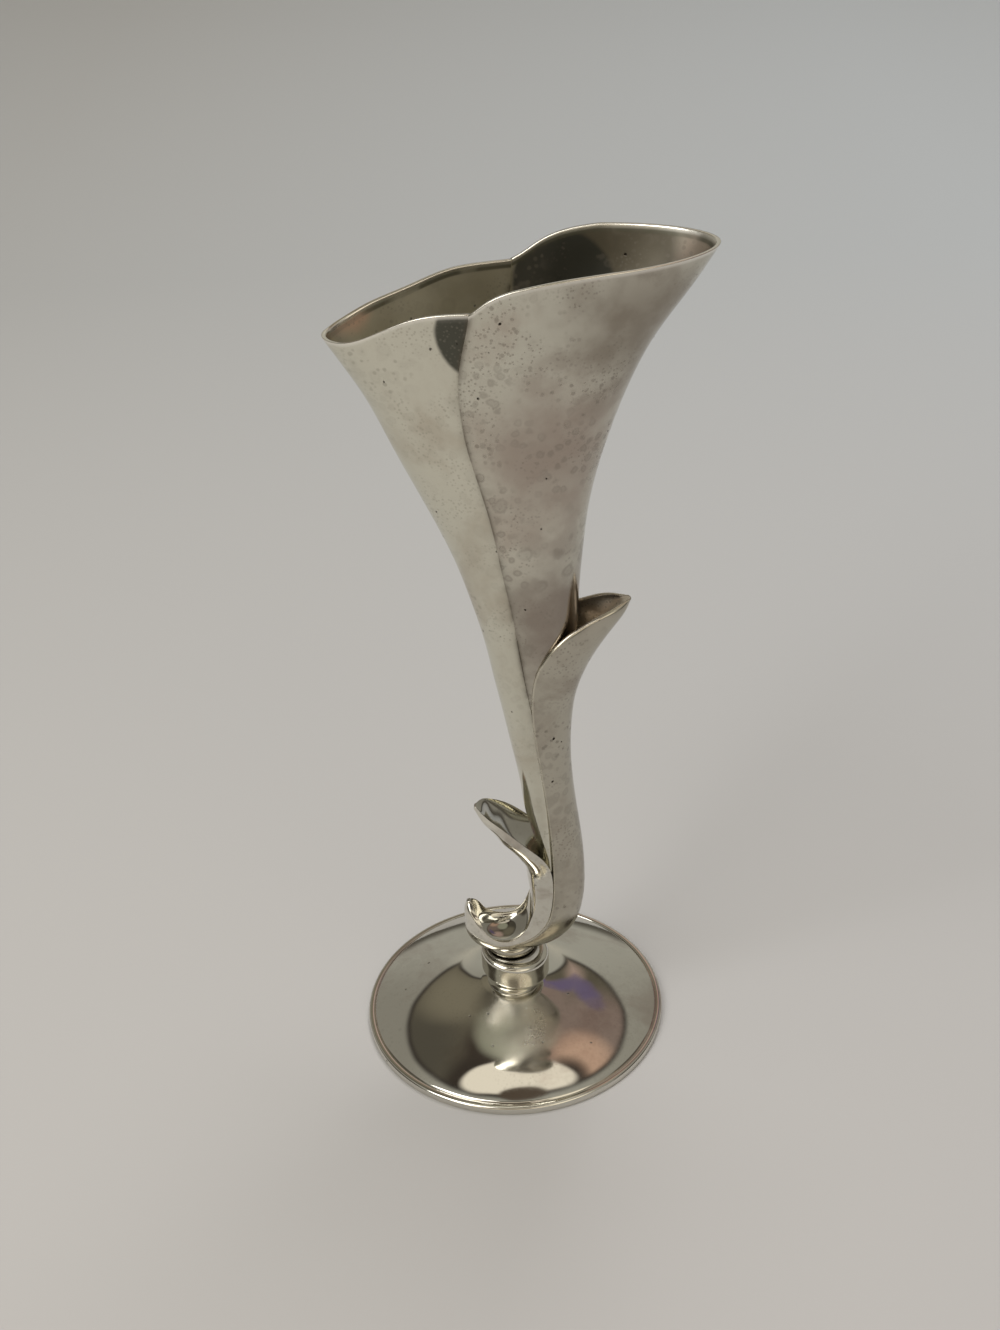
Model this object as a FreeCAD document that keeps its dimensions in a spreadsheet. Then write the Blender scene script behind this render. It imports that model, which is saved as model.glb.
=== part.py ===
import FreeCAD, Part
import os
import math
import Sketcher
from FreeCAD import Vector

# Lily-shaped trumpet vase: a flared funnel of two lapped petals, a cast stem with
# one curled leaf, a scroll leaf at its base, and a spun, weighted round foot.
# X runs along the wide way of the mouth, Y front (minus) to back, Z up.
# The origin is the centre of the foot, on the plane that it rests on.

doc = FreeCAD.newDocument("TrumpetVase")
sheet = doc.addObject("Spreadsheet::Sheet", "Sizes")

DRIVING_SIZES = {
    "foot_radius": 35.0,
    "foot_wall": 0.9,
    "rim_edge_height": 1.3,
    "rim_top_height": 1.95,
    "rim_bevel": 0.5,
    "rim_band": 1.6,
    "dome_height": 9.0,
    "dome_crown_radius": 7.4,
    "dome_mid_reach_share": 0.523,
    "dome_mid_rise_share": 0.655,
    "felt_height": 0.8,
    "inside_clearance": 0.2,
    "weight_edge_share": 0.83,
    "counterbore_radius": 7.0,
    "counterbore_depth": 4.4,
    "screw_radius": 2.0,
    "screw_clearance": 0.25,
    "screw_head_flats": 7.0,
    "screw_head_height": 2.8,
    "screw_length": 12.0,
    "tap_spare_depth": 1.5,
    "washer_radius": 6.0,
    "washer_height": 1.0,
    "neck_radius": 6.05,
    "bead_radius": 7.9,
    "bead_rounding": 1.2,
    "bead_rise_share": 0.59,
    "bead_height_share": 0.63,
    "bead_shift": 0.6,
    "bead_lean": 6.0,
    "flange_radius": 6.2,
    "flange_height": 1.2,
    "seat_height": 19.5,
    "spigot_radius": 3.6,
    "spigot_clearance": 0.1,
    "spigot_end_gap": 0.3,
    "pad_radius": 5.9,
    "pad_height": 3.0,
    "pad_rounding": 1.3,
    "leaf_tip_height": 112.3,
    "overall_height": 187.6,
    "mouth_left_reach": 30.2,
    "mouth_right_reach": 45.2,
    "mouth_depth": 29.0,
    "stem_width": 12.5,
    "stem_depth": 12.4,
    "petal_wall": 0.9,
    "petal_lap": 0.45,
    "leaf_wall": 1.1,
    "leaf_floor_wall": 2.2,
    "cut_overrun": 2.0,
}
DERIVED_SIZES = {
    "rim_bevel_radius": "=foot_radius - rim_bevel",
    "dome_edge_radius": "=foot_radius - rim_band",
    "dome_edge_height": "=rim_top_height + inside_clearance / 2",
    "dome_mid_radius": "=dome_crown_radius + (dome_edge_radius - dome_crown_radius)"
                       " * dome_mid_reach_share",
    "dome_mid_height": "=dome_edge_height + (dome_height - dome_edge_height)"
                       " * dome_mid_rise_share",
    "rim_inner_radius": "=foot_radius - foot_wall",
    "dome_inner_edge_radius": "=dome_edge_radius - foot_wall / 2",
    "dome_inner_edge_height": "=dome_edge_height - foot_wall",
    "dome_inner_mid_height": "=dome_mid_height - foot_wall",
    "dome_inner_height": "=dome_height - foot_wall",
    "screw_hole_radius": "=screw_radius + screw_clearance",
    "felt_radius": "=rim_inner_radius - inside_clearance",
    "weight_edge_radius": "=dome_mid_radius + (dome_inner_edge_radius - dome_mid_radius)"
                          " * weight_edge_share",
    "weight_edge_top": "=dome_inner_mid_height - (dome_inner_mid_height"
                       " - dome_inner_edge_height) * weight_edge_share"
                       " - inside_clearance",
    "weight_arc_radius": "=dome_mid_radius - inside_clearance",
    "weight_arc_height": "=dome_inner_mid_height - inside_clearance",
    "counterbore_top": "=felt_height + counterbore_depth",
    "washer_hole_radius": "=screw_radius + screw_clearance",
    "washer_base": "=counterbore_top - washer_height",
    "screw_head_base": "=washer_base - screw_head_height",
    "screw_head_radius": "=screw_head_flats / sqrt(3)",
    "neck_height": "=seat_height - dome_height",
    "bore_height": "=seat_height + cut_overrun",
    "flange_base": "=seat_height - flange_height",
    "bead_middle": "=dome_height + neck_height * bead_rise_share",
    "bead_face_height": "=neck_height * bead_height_share - 2 * bead_rounding",
    "bead_top_ring": "=bead_face_height / 2",
    "bead_low_ring": "=-bead_face_height / 2",
    "bead_ring_radius": "=bead_radius - bead_rounding",
    "bore_radius": "=spigot_radius + spigot_clearance",
}

row = 1
for table, text in ((DRIVING_SIZES, "{:g}"), (DERIVED_SIZES, "{}")):
    for alias, value in table.items():
        sheet.set("A{}".format(row), alias)
        sheet.set("B{}".format(row), text.format(value))
        sheet.setAlias("B{}".format(row), alias)
        row += 1
doc.recompute()


def size(alias):
    """Value of one size of the sheet, in millimetres."""
    return float(getattr(sheet, alias))


def cell(alias):
    return "Sizes." + alias


def bind(item, base=None, **properties):
    """Binds properties of an object to sizes, and its height to the size named base."""
    for name, alias in properties.items():
        item.setExpression(name, cell(alias))
    if base:
        item.setExpression("Placement.Base.z", cell(base))


# Turned and stamped pieces of the foot

def origin_plane(body, role):
    return next(f for f in body.Origin.OriginFeatures if f.Role == role)


def place_point(sketch, curve, end, x_alias, z_alias):
    """Ties one end of a curve to two sizes, or to the axis where the alias is None."""
    for kind, axis, alias in (("DistanceX", -2, x_alias), ("DistanceY", -1, z_alias)):
        if alias is None:
            sketch.addConstraint(Sketcher.Constraint("PointOnObject", curve, end, axis))
            continue
        number = sketch.addConstraint(
            Sketcher.Constraint(kind, -1, 1, curve, end, size(alias)))
        sketch.setExpression("Constraints[{}]".format(number), cell(alias))


def spun_body(name, outline):
    """A body turned about Z from an outline whose corners are pairs of size names.

    A third entry names the point that the arc to the next corner passes through.
    """
    body = doc.addObject("PartDesign::Body", name)
    sketch = body.newObject("Sketcher::SketchObject", name + "_profile")
    sketch.AttachmentSupport = [(origin_plane(body, "XZ_Plane"), "")]
    sketch.MapMode = "FlatFace"

    def spot(pair):
        return Vector(*(size(a) if a else 0 for a in pair), 0)

    curves = []
    for corner, after in zip(outline, outline[1:] + outline[:1]):
        start, end = spot(corner[:2]), spot(after[:2])
        if len(corner) == 3:
            through = spot(corner[2])
            arc = sketch.addGeometry(Part.Arc(start, through, end), False)
            mark = sketch.addGeometry(Part.Point(through), True)
            sketch.addConstraint(Sketcher.Constraint("PointOnObject", mark, 1, arc))
            place_point(sketch, mark, 1, *corner[2])
            turns_left = (through - start).cross(end - through).z > 0
            curves.append((arc, 1, 2) if turns_left else (arc, 2, 1))
        else:
            curves.append((sketch.addGeometry(Part.LineSegment(start, end), False), 1, 2))
    for corner, (curve, first, last), (after, after_first, _) in zip(
            outline, curves, curves[1:] + curves[:1]):
        sketch.addConstraint(
            Sketcher.Constraint("Coincident", curve, last, after, after_first))
        place_point(sketch, curve, first, *corner[:2])

    turned = body.newObject("PartDesign::Revolution", name + "_turned")
    turned.Profile = sketch
    turned.ReferenceAxis = (sketch, ["V_Axis"])
    turned.Angle = 360
    body.Tip = turned
    return body


foot_shell = spun_body("foot_shell", [
    ("screw_hole_radius", "dome_height"),
    ("dome_crown_radius", "dome_height", ("dome_mid_radius", "dome_mid_height")),
    ("dome_edge_radius", "dome_edge_height"),
    ("rim_bevel_radius", "rim_top_height"),
    ("foot_radius", "rim_edge_height"),
    ("foot_radius", None),
    ("rim_inner_radius", None),
    ("rim_inner_radius", "felt_height"),
    ("dome_inner_edge_radius", "dome_inner_edge_height",
     ("dome_mid_radius", "dome_inner_mid_height")),
    ("dome_crown_radius", "dome_inner_height"),
    ("screw_hole_radius", "dome_inner_height"),
])

foot_weight = spun_body("foot_weight", [
    ("screw_hole_radius", "dome_inner_height"),
    ("dome_crown_radius", "dome_inner_height", ("weight_arc_radius", "weight_arc_height")),
    ("weight_edge_radius", "weight_edge_top"),
    ("weight_edge_radius", "felt_height"),
    ("counterbore_radius", "felt_height"),
    ("counterbore_radius", "counterbore_top"),
    ("screw_hole_radius", "counterbore_top"),
])

clamp_washer = spun_body("clamp_washer", [
    ("washer_hole_radius", "washer_base"),
    ("washer_hole_radius", "counterbore_top"),
    ("washer_radius", "counterbore_top"),
    ("washer_radius", "washer_base"),
])

base_felt = doc.addObject("Part::Cylinder", "base_felt")
bind(base_felt, Radius="felt_radius", Height="felt_height")


def make_collar():
    """Turned neck with its tall, slightly leaning bead, its flange and its bore."""
    neck = doc.addObject("Part::Cylinder", "collar_neck")
    bind(neck, "dome_height", Radius="neck_radius", Height="neck_height")
    face = doc.addObject("Part::Cylinder", "collar_bead_face")
    bind(face, "bead_low_ring", Radius="bead_radius", Height="bead_face_height")
    top_ring = doc.addObject("Part::Torus", "collar_bead_top")
    bind(top_ring, "bead_top_ring", Radius1="bead_ring_radius", Radius2="bead_rounding")
    low_ring = doc.addObject("Part::Torus", "collar_bead_low")
    bind(low_ring, "bead_low_ring", Radius1="bead_ring_radius", Radius2="bead_rounding")
    bead = doc.addObject("Part::MultiFuse", "collar_bead")
    bead.Shapes = [face, top_ring, low_ring]
    bead.Placement.Rotation = FreeCAD.Rotation(Vector(0, 1, 0), size("bead_lean"))
    bind(bead, "bead_middle")
    bead.setExpression("Placement.Base.x", cell("bead_shift"))
    flange = doc.addObject("Part::Cylinder", "collar_flange")
    bind(flange, "flange_base", Radius="flange_radius", Height="flange_height")
    turned = doc.addObject("Part::MultiFuse", "collar_turned")
    turned.Shapes = [neck, bead, flange]
    bore = doc.addObject("Part::Cylinder", "collar_bore")
    bind(bore, Radius="bore_radius", Height="bore_height")
    bored = doc.addObject("Part::Cut", "collar")
    bored.Base = turned
    bored.Tool = bore
    return bored


def make_screw():
    """Hexagon headed screw that clamps weight, foot and collar to the stem's spigot."""
    head = doc.addObject("Part::Prism", "tie_screw_head")
    head.Polygon = 6
    bind(head, "screw_head_base", Circumradius="screw_head_radius",
         Height="screw_head_height")
    shank = doc.addObject("Part::Cylinder", "tie_screw_shank")
    bind(shank, "washer_base", Radius="screw_radius", Height="screw_length")
    screw = doc.addObject("Part::MultiFuse", "tie_screw")
    screw.Shapes = [head, shank]
    return screw


collar = make_collar()
tie_screw = make_screw()

# Free-form pieces, all in one set of levels: level 0 is the seat on the collar,
# level 1 the tip of the stem's leaf and level 2 the highest point of the mouth.

STEM_WIDTH = size("stem_width")
HALF_STEM = size("stem_depth") / 2
SEAT = size("seat_height")
LEAF_TIP = size("leaf_tip_height")
TOP = size("overall_height")
LEFT_REACH = size("mouth_left_reach")
RIGHT_REACH = size("mouth_right_reach")
MOUTH_DEPTH = size("mouth_depth")
WALL = size("petal_wall")
LAP = size("petal_lap")
LEAF_WALL = size("leaf_wall")
LEAF_FLOOR_WALL = size("leaf_floor_wall")
OVERRUN = size("cut_overrun")
CURVE_POINTS = 24
BLUNT_SHARE = 0.75
LAP_SIDE_SHARE = 0.5
LAP_LOW_LEVEL = 0.95
LAP_FULL_LEVEL = 1.2
BOW_POINTS = 9


def height(level):
    if level <= 1:
        return SEAT + (LEAF_TIP - SEAT) * level
    return LEAF_TIP + (TOP - LEAF_TIP) * (level - 1)


def side_point(x_share, level):
    """A point of the side view, in stem widths across and levels up."""
    return Vector(STEM_WIDTH * x_share, 0, height(level))


def between(low, high, share):
    return low + (high - low) * share


def share_of_way(low, high, value):
    """How far a value has come from low to high, kept from 0 to 1."""
    return min(1, max(0, (value - low) / (high - low)))


# Funnel below the leaf tip: level, left and right edge in stem widths, half depth
# in half stem depths.
FUNNEL_SHARES = (
    (0.248, 0.74, 0.82, 0.84),
    (0.307, 0.58, 0.92, 0.87),
    (0.361, 0.47, 0.96, 0.89),
    (0.436, 0.35, 1.01, 0.90),
    (0.501, 0.30, 1.03, 0.92),
    (0.615, 0.17, 1.08, 0.95),
    (0.713, 0.05, 1.15, 1.02),
    (0.814, -0.08, 1.25, 1.13),
)
# Flare above it: level, left edge in left reaches, right edge and half depth from
# the throat (0) to the mouth (1), and how far the oval swells to the right.
THROAT_RIGHT_SHARE = 1.4
THROAT_DEPTH_SHARE = 1.3
FLARE_SHARES = (
    (0.921, 0.09, -0.02, -0.06, 0.05),
    (1.02, 0.16, 0.00, 0.05, 0.08),
    (1.14, 0.245, 0.03, 0.16, 0.11),
    (1.34, 0.44, 0.11, 0.35, 0.16),
    (1.50, 0.61, 0.235, 0.50, 0.20),
    (1.66, 0.78, 0.405, 0.69, 0.23),
    (1.79, 0.965, 0.60, 0.81, 0.26),
    (1.89, 1.09, 0.80, 0.91, 0.27),
    (2.00, 1.20, 1.00, 0.97, 0.27),
    (2.10, 1.30, 1.18, 1.02, 0.27),
)


def oval_rows():
    """Height, left edge, right edge, half depth, swell and lap of each oval."""
    rows = []
    for level, left, right, depth in FUNNEL_SHARES:
        rows.append((height(level), STEM_WIDTH * left, STEM_WIDTH * right,
                     HALF_STEM * depth, 0, 0))
    for level, left, right, depth, swell in FLARE_SHARES:
        rows.append((height(level), -LEFT_REACH * left,
                     between(STEM_WIDTH * THROAT_RIGHT_SHARE, RIGHT_REACH, right),
                     between(HALF_STEM * THROAT_DEPTH_SHARE, MOUTH_DEPTH / 2, depth),
                     swell, share_of_way(LAP_LOW_LEVEL, LAP_FULL_LEVEL, level)))
    return rows


def oval_wire(z, left, right, depth, swell, lap, inset, lapped):
    """Closed egg-shaped section of the funnel, set in by a wall and lapped outwards.

    The lap lifts the section over the seams, front and back, and fades to the right.
    """
    middle = (left + right) / 2
    half = (right - left) / 2 - inset
    deep = depth - inset
    points = []
    for i in range(CURVE_POINTS):
        turn = 2 * math.pi * i / CURVE_POINTS
        lean = math.cos(turn) - BLUNT_SHARE * math.cos(turn) ** 3
        nearness = share_of_way(LAP_SIDE_SHARE, 0, math.cos(turn))
        lift = LAP * lap * lapped * nearness ** 2 * (3 - 2 * nearness)
        points.append(Vector(
            middle + (half + lift) * math.cos(turn),
            (deep + lift) * math.sin(turn) * (1 + swell * lean),
            z))
    curve = Part.BSplineCurve()
    curve.interpolate(Points=points, PeriodicFlag=True)
    return Part.Wire([curve.toShape()])


# Rows of the funnel that its hollow starts from, and those that the plug fills.
CAVITY_ROWS = slice(2, None)
PLUG_ROWS = slice(2, 6)


def largest(shape):
    """The piece itself, without the scraps that a cut leaves."""
    return max(shape.Solids, key=lambda s: s.Volume)


def oval_solid(rows, inset=0, lapped=0):
    return Part.makeLoft([oval_wire(*r, inset, lapped) for r in rows], True, False)


def smooth_edge(points):
    curve = Part.BSplineCurve()
    curve.interpolate(Points=points)
    return curve.toShape()


def line_edge(start, end):
    return Part.LineSegment(start, end).toShape()


def prism(edges, near, far):
    """Solid between two depths, from a closed outline of the side view."""
    face = Part.Face(Part.Wire(edges))
    face.translate(Vector(0, near, 0))
    return face.extrude(Vector(0, far - near, 0))


# Side view of the seams, from the rim down, and of the stretch below that both share:
# stem widths across and levels up.
FRONT_SEAM_SHARES = (
    (-0.15, 1.95), (-0.16, 1.91), (-0.31, 1.79), (-0.37, 1.71), (-0.36, 1.64),
    (-0.30, 1.55), (-0.20, 1.47), (-0.01, 1.33), (0.15, 1.155), (0.27, 1.028),
    (0.36, 0.926), (0.45, 0.826), (0.50, 0.777),
)
BACK_SEAM_SHARES = (
    (0.55, 1.95), (0.52, 1.91), (0.40, 1.75), (0.32, 1.60), (0.28, 1.43),
    (0.30, 1.20), (0.38, 0.98), (0.46, 0.85), (0.50, 0.777),
)
LOW_SEAM_SHARES = (
    (0.50, 0.777), (0.58, 0.706), (0.72, 0.598), (0.86, 0.523), (1.09, 0.447),
    (1.44, 0.361),
)
# Rim of the left petal, from where it runs straight round the tip to past its seam:
# left reaches across and levels up.
LEFT_TIP_SHARES = (-1.3, 1.806)
FRONT_RIM_SHARES = (
    (-0.96, 1.808), (-0.87, 1.812), (-0.66, 1.846), (-0.40, 1.892),
    (-0.20, 1.906), (0.00, 1.909), (0.40, 1.911),
)
BACK_RIM_SHARES = (
    (-0.96, 1.808), (-0.87, 1.818), (-0.72, 1.839), (-0.46, 1.868), (-0.17, 1.901),
    (0.02, 1.907), (0.40, 1.911),
)
# Corner of the right petal, from its seam to where its rim runs straight: right
# reaches across and levels up.
FRONT_CORNER_SHARES = (
    (-0.060, 1.905), (-0.044, 1.908), (0.004, 1.929), (0.07, 1.953), (0.18, 1.972),
    (0.33, 1.986), (0.53, 1.994),
)
BACK_CORNER_SHARES = (
    (0.13, 1.905), (0.144, 1.908), (0.19, 1.921), (0.27, 1.951), (0.40, 1.981),
    (0.53, 1.994),
)
RIM_END_SHARES = (1.2, 2.0)
BELOW_LEVEL = 0.2


def petal_tool(seam, rim, toward, near, far):
    """Space of one petal on one face of the vase: beside its seam, under its rim."""
    low_points = [side_point(*s) for s in LOW_SEAM_SHARES]
    rim_edge = smooth_edge(rim)
    seam_edge = smooth_edge([side_point(*s) for s in seam])
    meet = rim_edge.distToShape(seam_edge)[1][0][0]
    rim_curve, seam_curve = rim_edge.Curve, seam_edge.Curve
    rim_at, seam_at = rim_curve.parameter(meet), seam_curve.parameter(meet)
    rim_part = rim_curve.toShape(*sorted((rim_at, rim_curve.parameter(rim[toward]))))
    seam_part = seam_curve.toShape(seam_at, seam_curve.LastParameter)
    low_part = smooth_edge(low_points)
    out = rim[toward]
    last = low_points[-1]
    if toward == 0:
        end = Vector(LEFT_REACH * LEFT_TIP_SHARES[0], 0, height(LEFT_TIP_SHARES[1]))
        low = Vector(end.x, 0, height(BELOW_LEVEL))
        under = Vector(last.x, 0, height(BELOW_LEVEL))
        edges = [rim_part, seam_part, low_part, line_edge(last, under),
                 line_edge(under, low), line_edge(low, end), line_edge(end, out)]
    else:
        end = Vector(RIGHT_REACH * RIM_END_SHARES[0], 0, height(RIM_END_SHARES[1]))
        low = Vector(end.x, 0, last.z)
        edges = [rim_part, line_edge(out, end), line_edge(end, low), line_edge(low, last),
                 low_part, seam_part]
    return prism(Part.__sortEdges__(edges), near, far)


def rim_points(reach, shares):
    return [Vector(reach * x, 0, height(level)) for x, level in shares]


def make_petals():
    """The funnel's mass, and both petals: its wall split at the seams."""
    rows = oval_rows()
    outer = oval_solid(rows)
    inner = oval_solid(rows[CAVITY_ROWS], WALL)
    lapped_outer = oval_solid(rows, 0, 1)
    lapped_inner = oval_solid(rows[CAVITY_ROWS], WALL, 1)
    front, back = -MOUTH_DEPTH, MOUTH_DEPTH
    left_space = petal_tool(
        FRONT_SEAM_SHARES, rim_points(LEFT_REACH, FRONT_RIM_SHARES), 0, front, 0)
    left_space = left_space.fuse(petal_tool(
        BACK_SEAM_SHARES, rim_points(LEFT_REACH, BACK_RIM_SHARES), 0, 0, back))
    right_space = petal_tool(
        FRONT_SEAM_SHARES, rim_points(RIGHT_REACH, FRONT_CORNER_SHARES), -1, front, 0)
    right_space = right_space.fuse(petal_tool(
        BACK_SEAM_SHARES, rim_points(RIGHT_REACH, BACK_CORNER_SHARES), -1, 0, back))
    left = outer.cut(inner).common(left_space)
    right = lapped_outer.cut(lapped_inner).common(right_space)
    return outer, left, right


# Bowed sections of the stem and its leaf, from under the scroll, round the elbow and
# up to the leaf's tip: chord point and belly point of the side view, half depth.
STEM_SHARES = (
    (-0.40, 0.033, -0.42, 0.008, 0.58),
    (-0.20, 0.044, -0.22, 0.004, 0.77),
    (0.02, 0.050, 0.06, 0.003, 0.87),
    (0.38, 0.071, 0.64, 0.015, 0.94),
    (0.64, 0.114, 1.13, 0.061, 0.97),
    (0.75, 0.164, 1.34, 0.138, 0.98),
    (0.79, 0.236, 1.39, 0.232, 1.00),
    (0.79, 0.307, 1.37, 0.307, 1.00),
    (0.72, 0.469, 1.25, 0.469, 1.00),
    (0.62, 0.598, 1.20, 0.603, 1.02),
    (0.54, 0.717, 1.25, 0.706, 1.10),
    (0.57, 0.824, 1.36, 0.779, 1.23),
    (0.75, 0.891, 1.53, 0.836, 1.29),
    (1.15, 0.948, 1.74, 0.886, 1.16),
    (1.46, 0.968, 1.91, 0.919, 0.95),
    (1.75, 0.983, 2.07, 0.949, 0.79),
    (2.04, 0.993, 2.20, 0.977, 0.48),
    (2.20, 0.997, 2.25, 0.993, 0.19),
)
CUP_ROWS = slice(11, 17)
# Scroll from the tip of its upper leaf down and round to the tip of its cup: outer
# and inner edge of the side view, then half depth and bulge at each edge.
SCROLL_SHARES = (
    (-0.51, 0.443, -0.53, 0.434, 0.13, 0.13, 0.00, 0.02),
    (-0.42, 0.439, -0.45, 0.428, 0.42, 0.42, -0.02, 0.07),
    (-0.29, 0.429, -0.33, 0.419, 0.65, 0.65, -0.08, 0.15),
    (-0.10, 0.413, -0.14, 0.404, 0.84, 0.84, -0.16, 0.22),
    (0.11, 0.391, 0.06, 0.383, 0.98, 0.98, -0.22, 0.31),
    (0.35, 0.361, 0.29, 0.354, 1.06, 1.05, -0.22, 0.34),
    (0.58, 0.329, 0.48, 0.319, 1.06, 1.03, -0.12, 0.34),
    (0.74, 0.289, 0.61, 0.281, 1.02, 0.95, -0.02, 0.33),
    (0.79, 0.237, 0.58, 0.232, 1.00, 0.86, 0.00, 0.24),
    (0.75, 0.166, 0.49, 0.169, 0.98, 0.84, 0.00, 0.10),
    (0.64, 0.114, 0.37, 0.126, 0.97, 0.84, 0.02, -0.05),
    (0.39, 0.073, 0.24, 0.087, 0.95, 0.84, 0.07, -0.17),
    (0.05, 0.050, 0.01, 0.061, 0.90, 0.84, 0.23, -0.18),
    (-0.29, 0.050, -0.26, 0.062, 0.89, 0.84, 0.33, -0.21),
    (-0.53, 0.077, -0.46, 0.084, 0.77, 0.73, 0.34, -0.26),
    (-0.64, 0.113, -0.57, 0.117, 0.58, 0.53, 0.22, -0.16),
    (-0.71, 0.134, -0.65, 0.136, 0.37, 0.32, 0.13, -0.08),
    (-0.76, 0.148, -0.71, 0.150, 0.13, 0.11, 0.04, -0.01),
)


def bow_edge(chord, direction, depth, bulge):
    """Half-oval curve over a chord that runs front to back, bulging one way."""
    points = []
    for i in range(BOW_POINTS):
        turn = math.pi * i / (BOW_POINTS - 1)
        points.append(Vector(
            chord.x + direction.x * bulge * math.sin(turn),
            -depth * math.cos(turn),
            chord.z + direction.z * bulge * math.sin(turn)))
    return smooth_edge(points)


def ends(edge):
    return edge.valueAt(edge.FirstParameter), edge.valueAt(edge.LastParameter)


def stem_wire(chord_x, chord_level, belly_x, belly_level, depth):
    chord = side_point(chord_x, chord_level)
    belly = side_point(belly_x, belly_level)
    way = (belly - chord).normalize()
    bow = bow_edge(chord, way, HALF_STEM * depth, (belly - chord).Length)
    start, end = ends(bow)
    return Part.Wire([bow, line_edge(end, start)])


def cup_wire(wall, chord_x, chord_level, belly_x, belly_level, depth):
    """Hollow of the leaf: the stem's section less the wall, open past its chord."""
    chord = side_point(chord_x, chord_level)
    belly = side_point(belly_x, belly_level)
    way = (belly - chord).normalize()
    deep = max(HALF_STEM * depth - wall, wall / 2)
    bulge = max((belly - chord).Length - wall, wall / 2)
    bow = bow_edge(chord, way, deep, bulge)
    start, end = ends(bow)
    above_end = end - way * OVERRUN
    above_start = start - way * OVERRUN
    return Part.Wire([bow, line_edge(end, above_end), line_edge(above_end, above_start),
                      line_edge(above_start, start)])


def scroll_wire(outer_x, outer_level, inner_x, inner_level,
                outer_depth, inner_depth, outer_bulge, inner_bulge):
    outer = side_point(outer_x, outer_level)
    inner = side_point(inner_x, inner_level)
    way = (inner - outer).normalize()
    inner_bow = bow_edge(inner, way, HALF_STEM * inner_depth, STEM_WIDTH * inner_bulge)
    outer_bow = bow_edge(outer, way, HALF_STEM * outer_depth, -STEM_WIDTH * outer_bulge)
    inner_front, inner_back = ends(inner_bow)
    outer_front, outer_back = ends(outer_bow)
    return Part.Wire([line_edge(outer_front, inner_front), inner_bow,
                      line_edge(inner_back, outer_back), outer_bow])


def make_stem(funnel, scroll):
    """Cast stem: elbow, sheath and leaf, with its pad and its tapped spigot.

    Its front half is cut to the funnel and the scroll, and the back mirrors it.
    """
    body = Part.makeLoft([stem_wire(*r) for r in STEM_SHARES], True, False)
    floor_row, *cup_rows = STEM_SHARES[CUP_ROWS]
    cup_wires = [cup_wire(LEAF_FLOOR_WALL, *floor_row)]
    cup_wires += [cup_wire(LEAF_WALL, *r) for r in cup_rows]
    cup = Part.makeLoft(cup_wires, True, False)
    pad = Part.makeCylinder(size("pad_radius"), size("pad_height"), Vector(0, 0, SEAT))
    pad = pad.makeFillet(size("pad_rounding"), [e for e in pad.Edges if e.Closed])
    spigot_end = size("dome_height") + size("spigot_end_gap")
    spigot = Part.makeCylinder(size("spigot_radius"), SEAT - spigot_end + OVERRUN,
                               Vector(0, 0, spigot_end))
    screw_end = size("washer_base") + size("screw_length")
    tapped = Part.makeCylinder(size("screw_radius"),
                               screw_end + size("tap_spare_depth") - spigot_end,
                               Vector(0, 0, spigot_end))
    stem = body.cut(cup).fuse([pad, spigot]).cut(tapped)
    box = stem.BoundBox
    front_space = Part.makeBox(box.XLength + 2 * OVERRUN, MOUTH_DEPTH,
                               box.ZLength + 2 * OVERRUN,
                               Vector(box.XMin - OVERRUN, -MOUTH_DEPTH,
                                      box.ZMin - OVERRUN))
    front_scroll = scroll.common(front_space)
    front = largest(stem.common(front_space).cut(funnel).cut(front_scroll))
    return front.fuse(front.mirror(Vector(0, 0, 0), Vector(0, 1, 0)))


funnel_shape, left_shape, right_shape = make_petals()
scroll_shape = Part.makeLoft([scroll_wire(*r) for r in SCROLL_SHARES], True, False)
scroll_shape = scroll_shape.cut(funnel_shape)
plug_shape = oval_solid(oval_rows()[PLUG_ROWS], WALL)
stem_shape = make_stem(funnel_shape, scroll_shape)


def free_form(name, shape):
    piece = doc.addObject("Part::Feature", name)
    piece.Shape = largest(shape)
    piece.Placement = FreeCAD.Placement()
    return piece


left_petal = free_form("left_petal", left_shape)
right_petal = free_form("right_petal", right_shape)
throat_plug = free_form("throat_plug", plug_shape)
stem_casting = free_form("stem_casting", stem_shape)
scroll_leaf = free_form("scroll_leaf", scroll_shape)

SUB_PARTS = [left_petal, right_petal, throat_plug, stem_casting, scroll_leaf, collar,
             foot_shell, foot_weight, clamp_washer, tie_screw, base_felt]
for piece in SUB_PARTS:
    piece.Label = piece.Name

doc.recompute()
for item in doc.Objects:
    if "Invalid" in item.State or "Error" in item.State:
        raise RuntimeError("{} failed: {}".format(item.Name, item.State))
os.makedirs("parts", exist_ok=True)
for piece in SUB_PARTS:
    if piece.Shape.isNull() or not piece.Shape.isValid():
        raise RuntimeError("{} has no valid shape".format(piece.Label))
for piece in SUB_PARTS:
    piece.Shape.exportStep(os.path.join("parts", piece.Label + ".step"))
    box = piece.Shape.BoundBox
    print("{:14s} {:9.1f} mm3  {} solid  x {:.1f} {:.1f}  y {:.1f} {:.1f}  z {:.1f} {:.1f}".format(
        piece.Label, piece.Shape.Volume, len(piece.Shape.Solids),
        box.XMin, box.XMax, box.YMin, box.YMax, box.ZMin, box.ZMax))
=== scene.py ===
import math

import bmesh
import bpy
import numpy as np
from mathutils import Matrix, Vector


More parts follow.
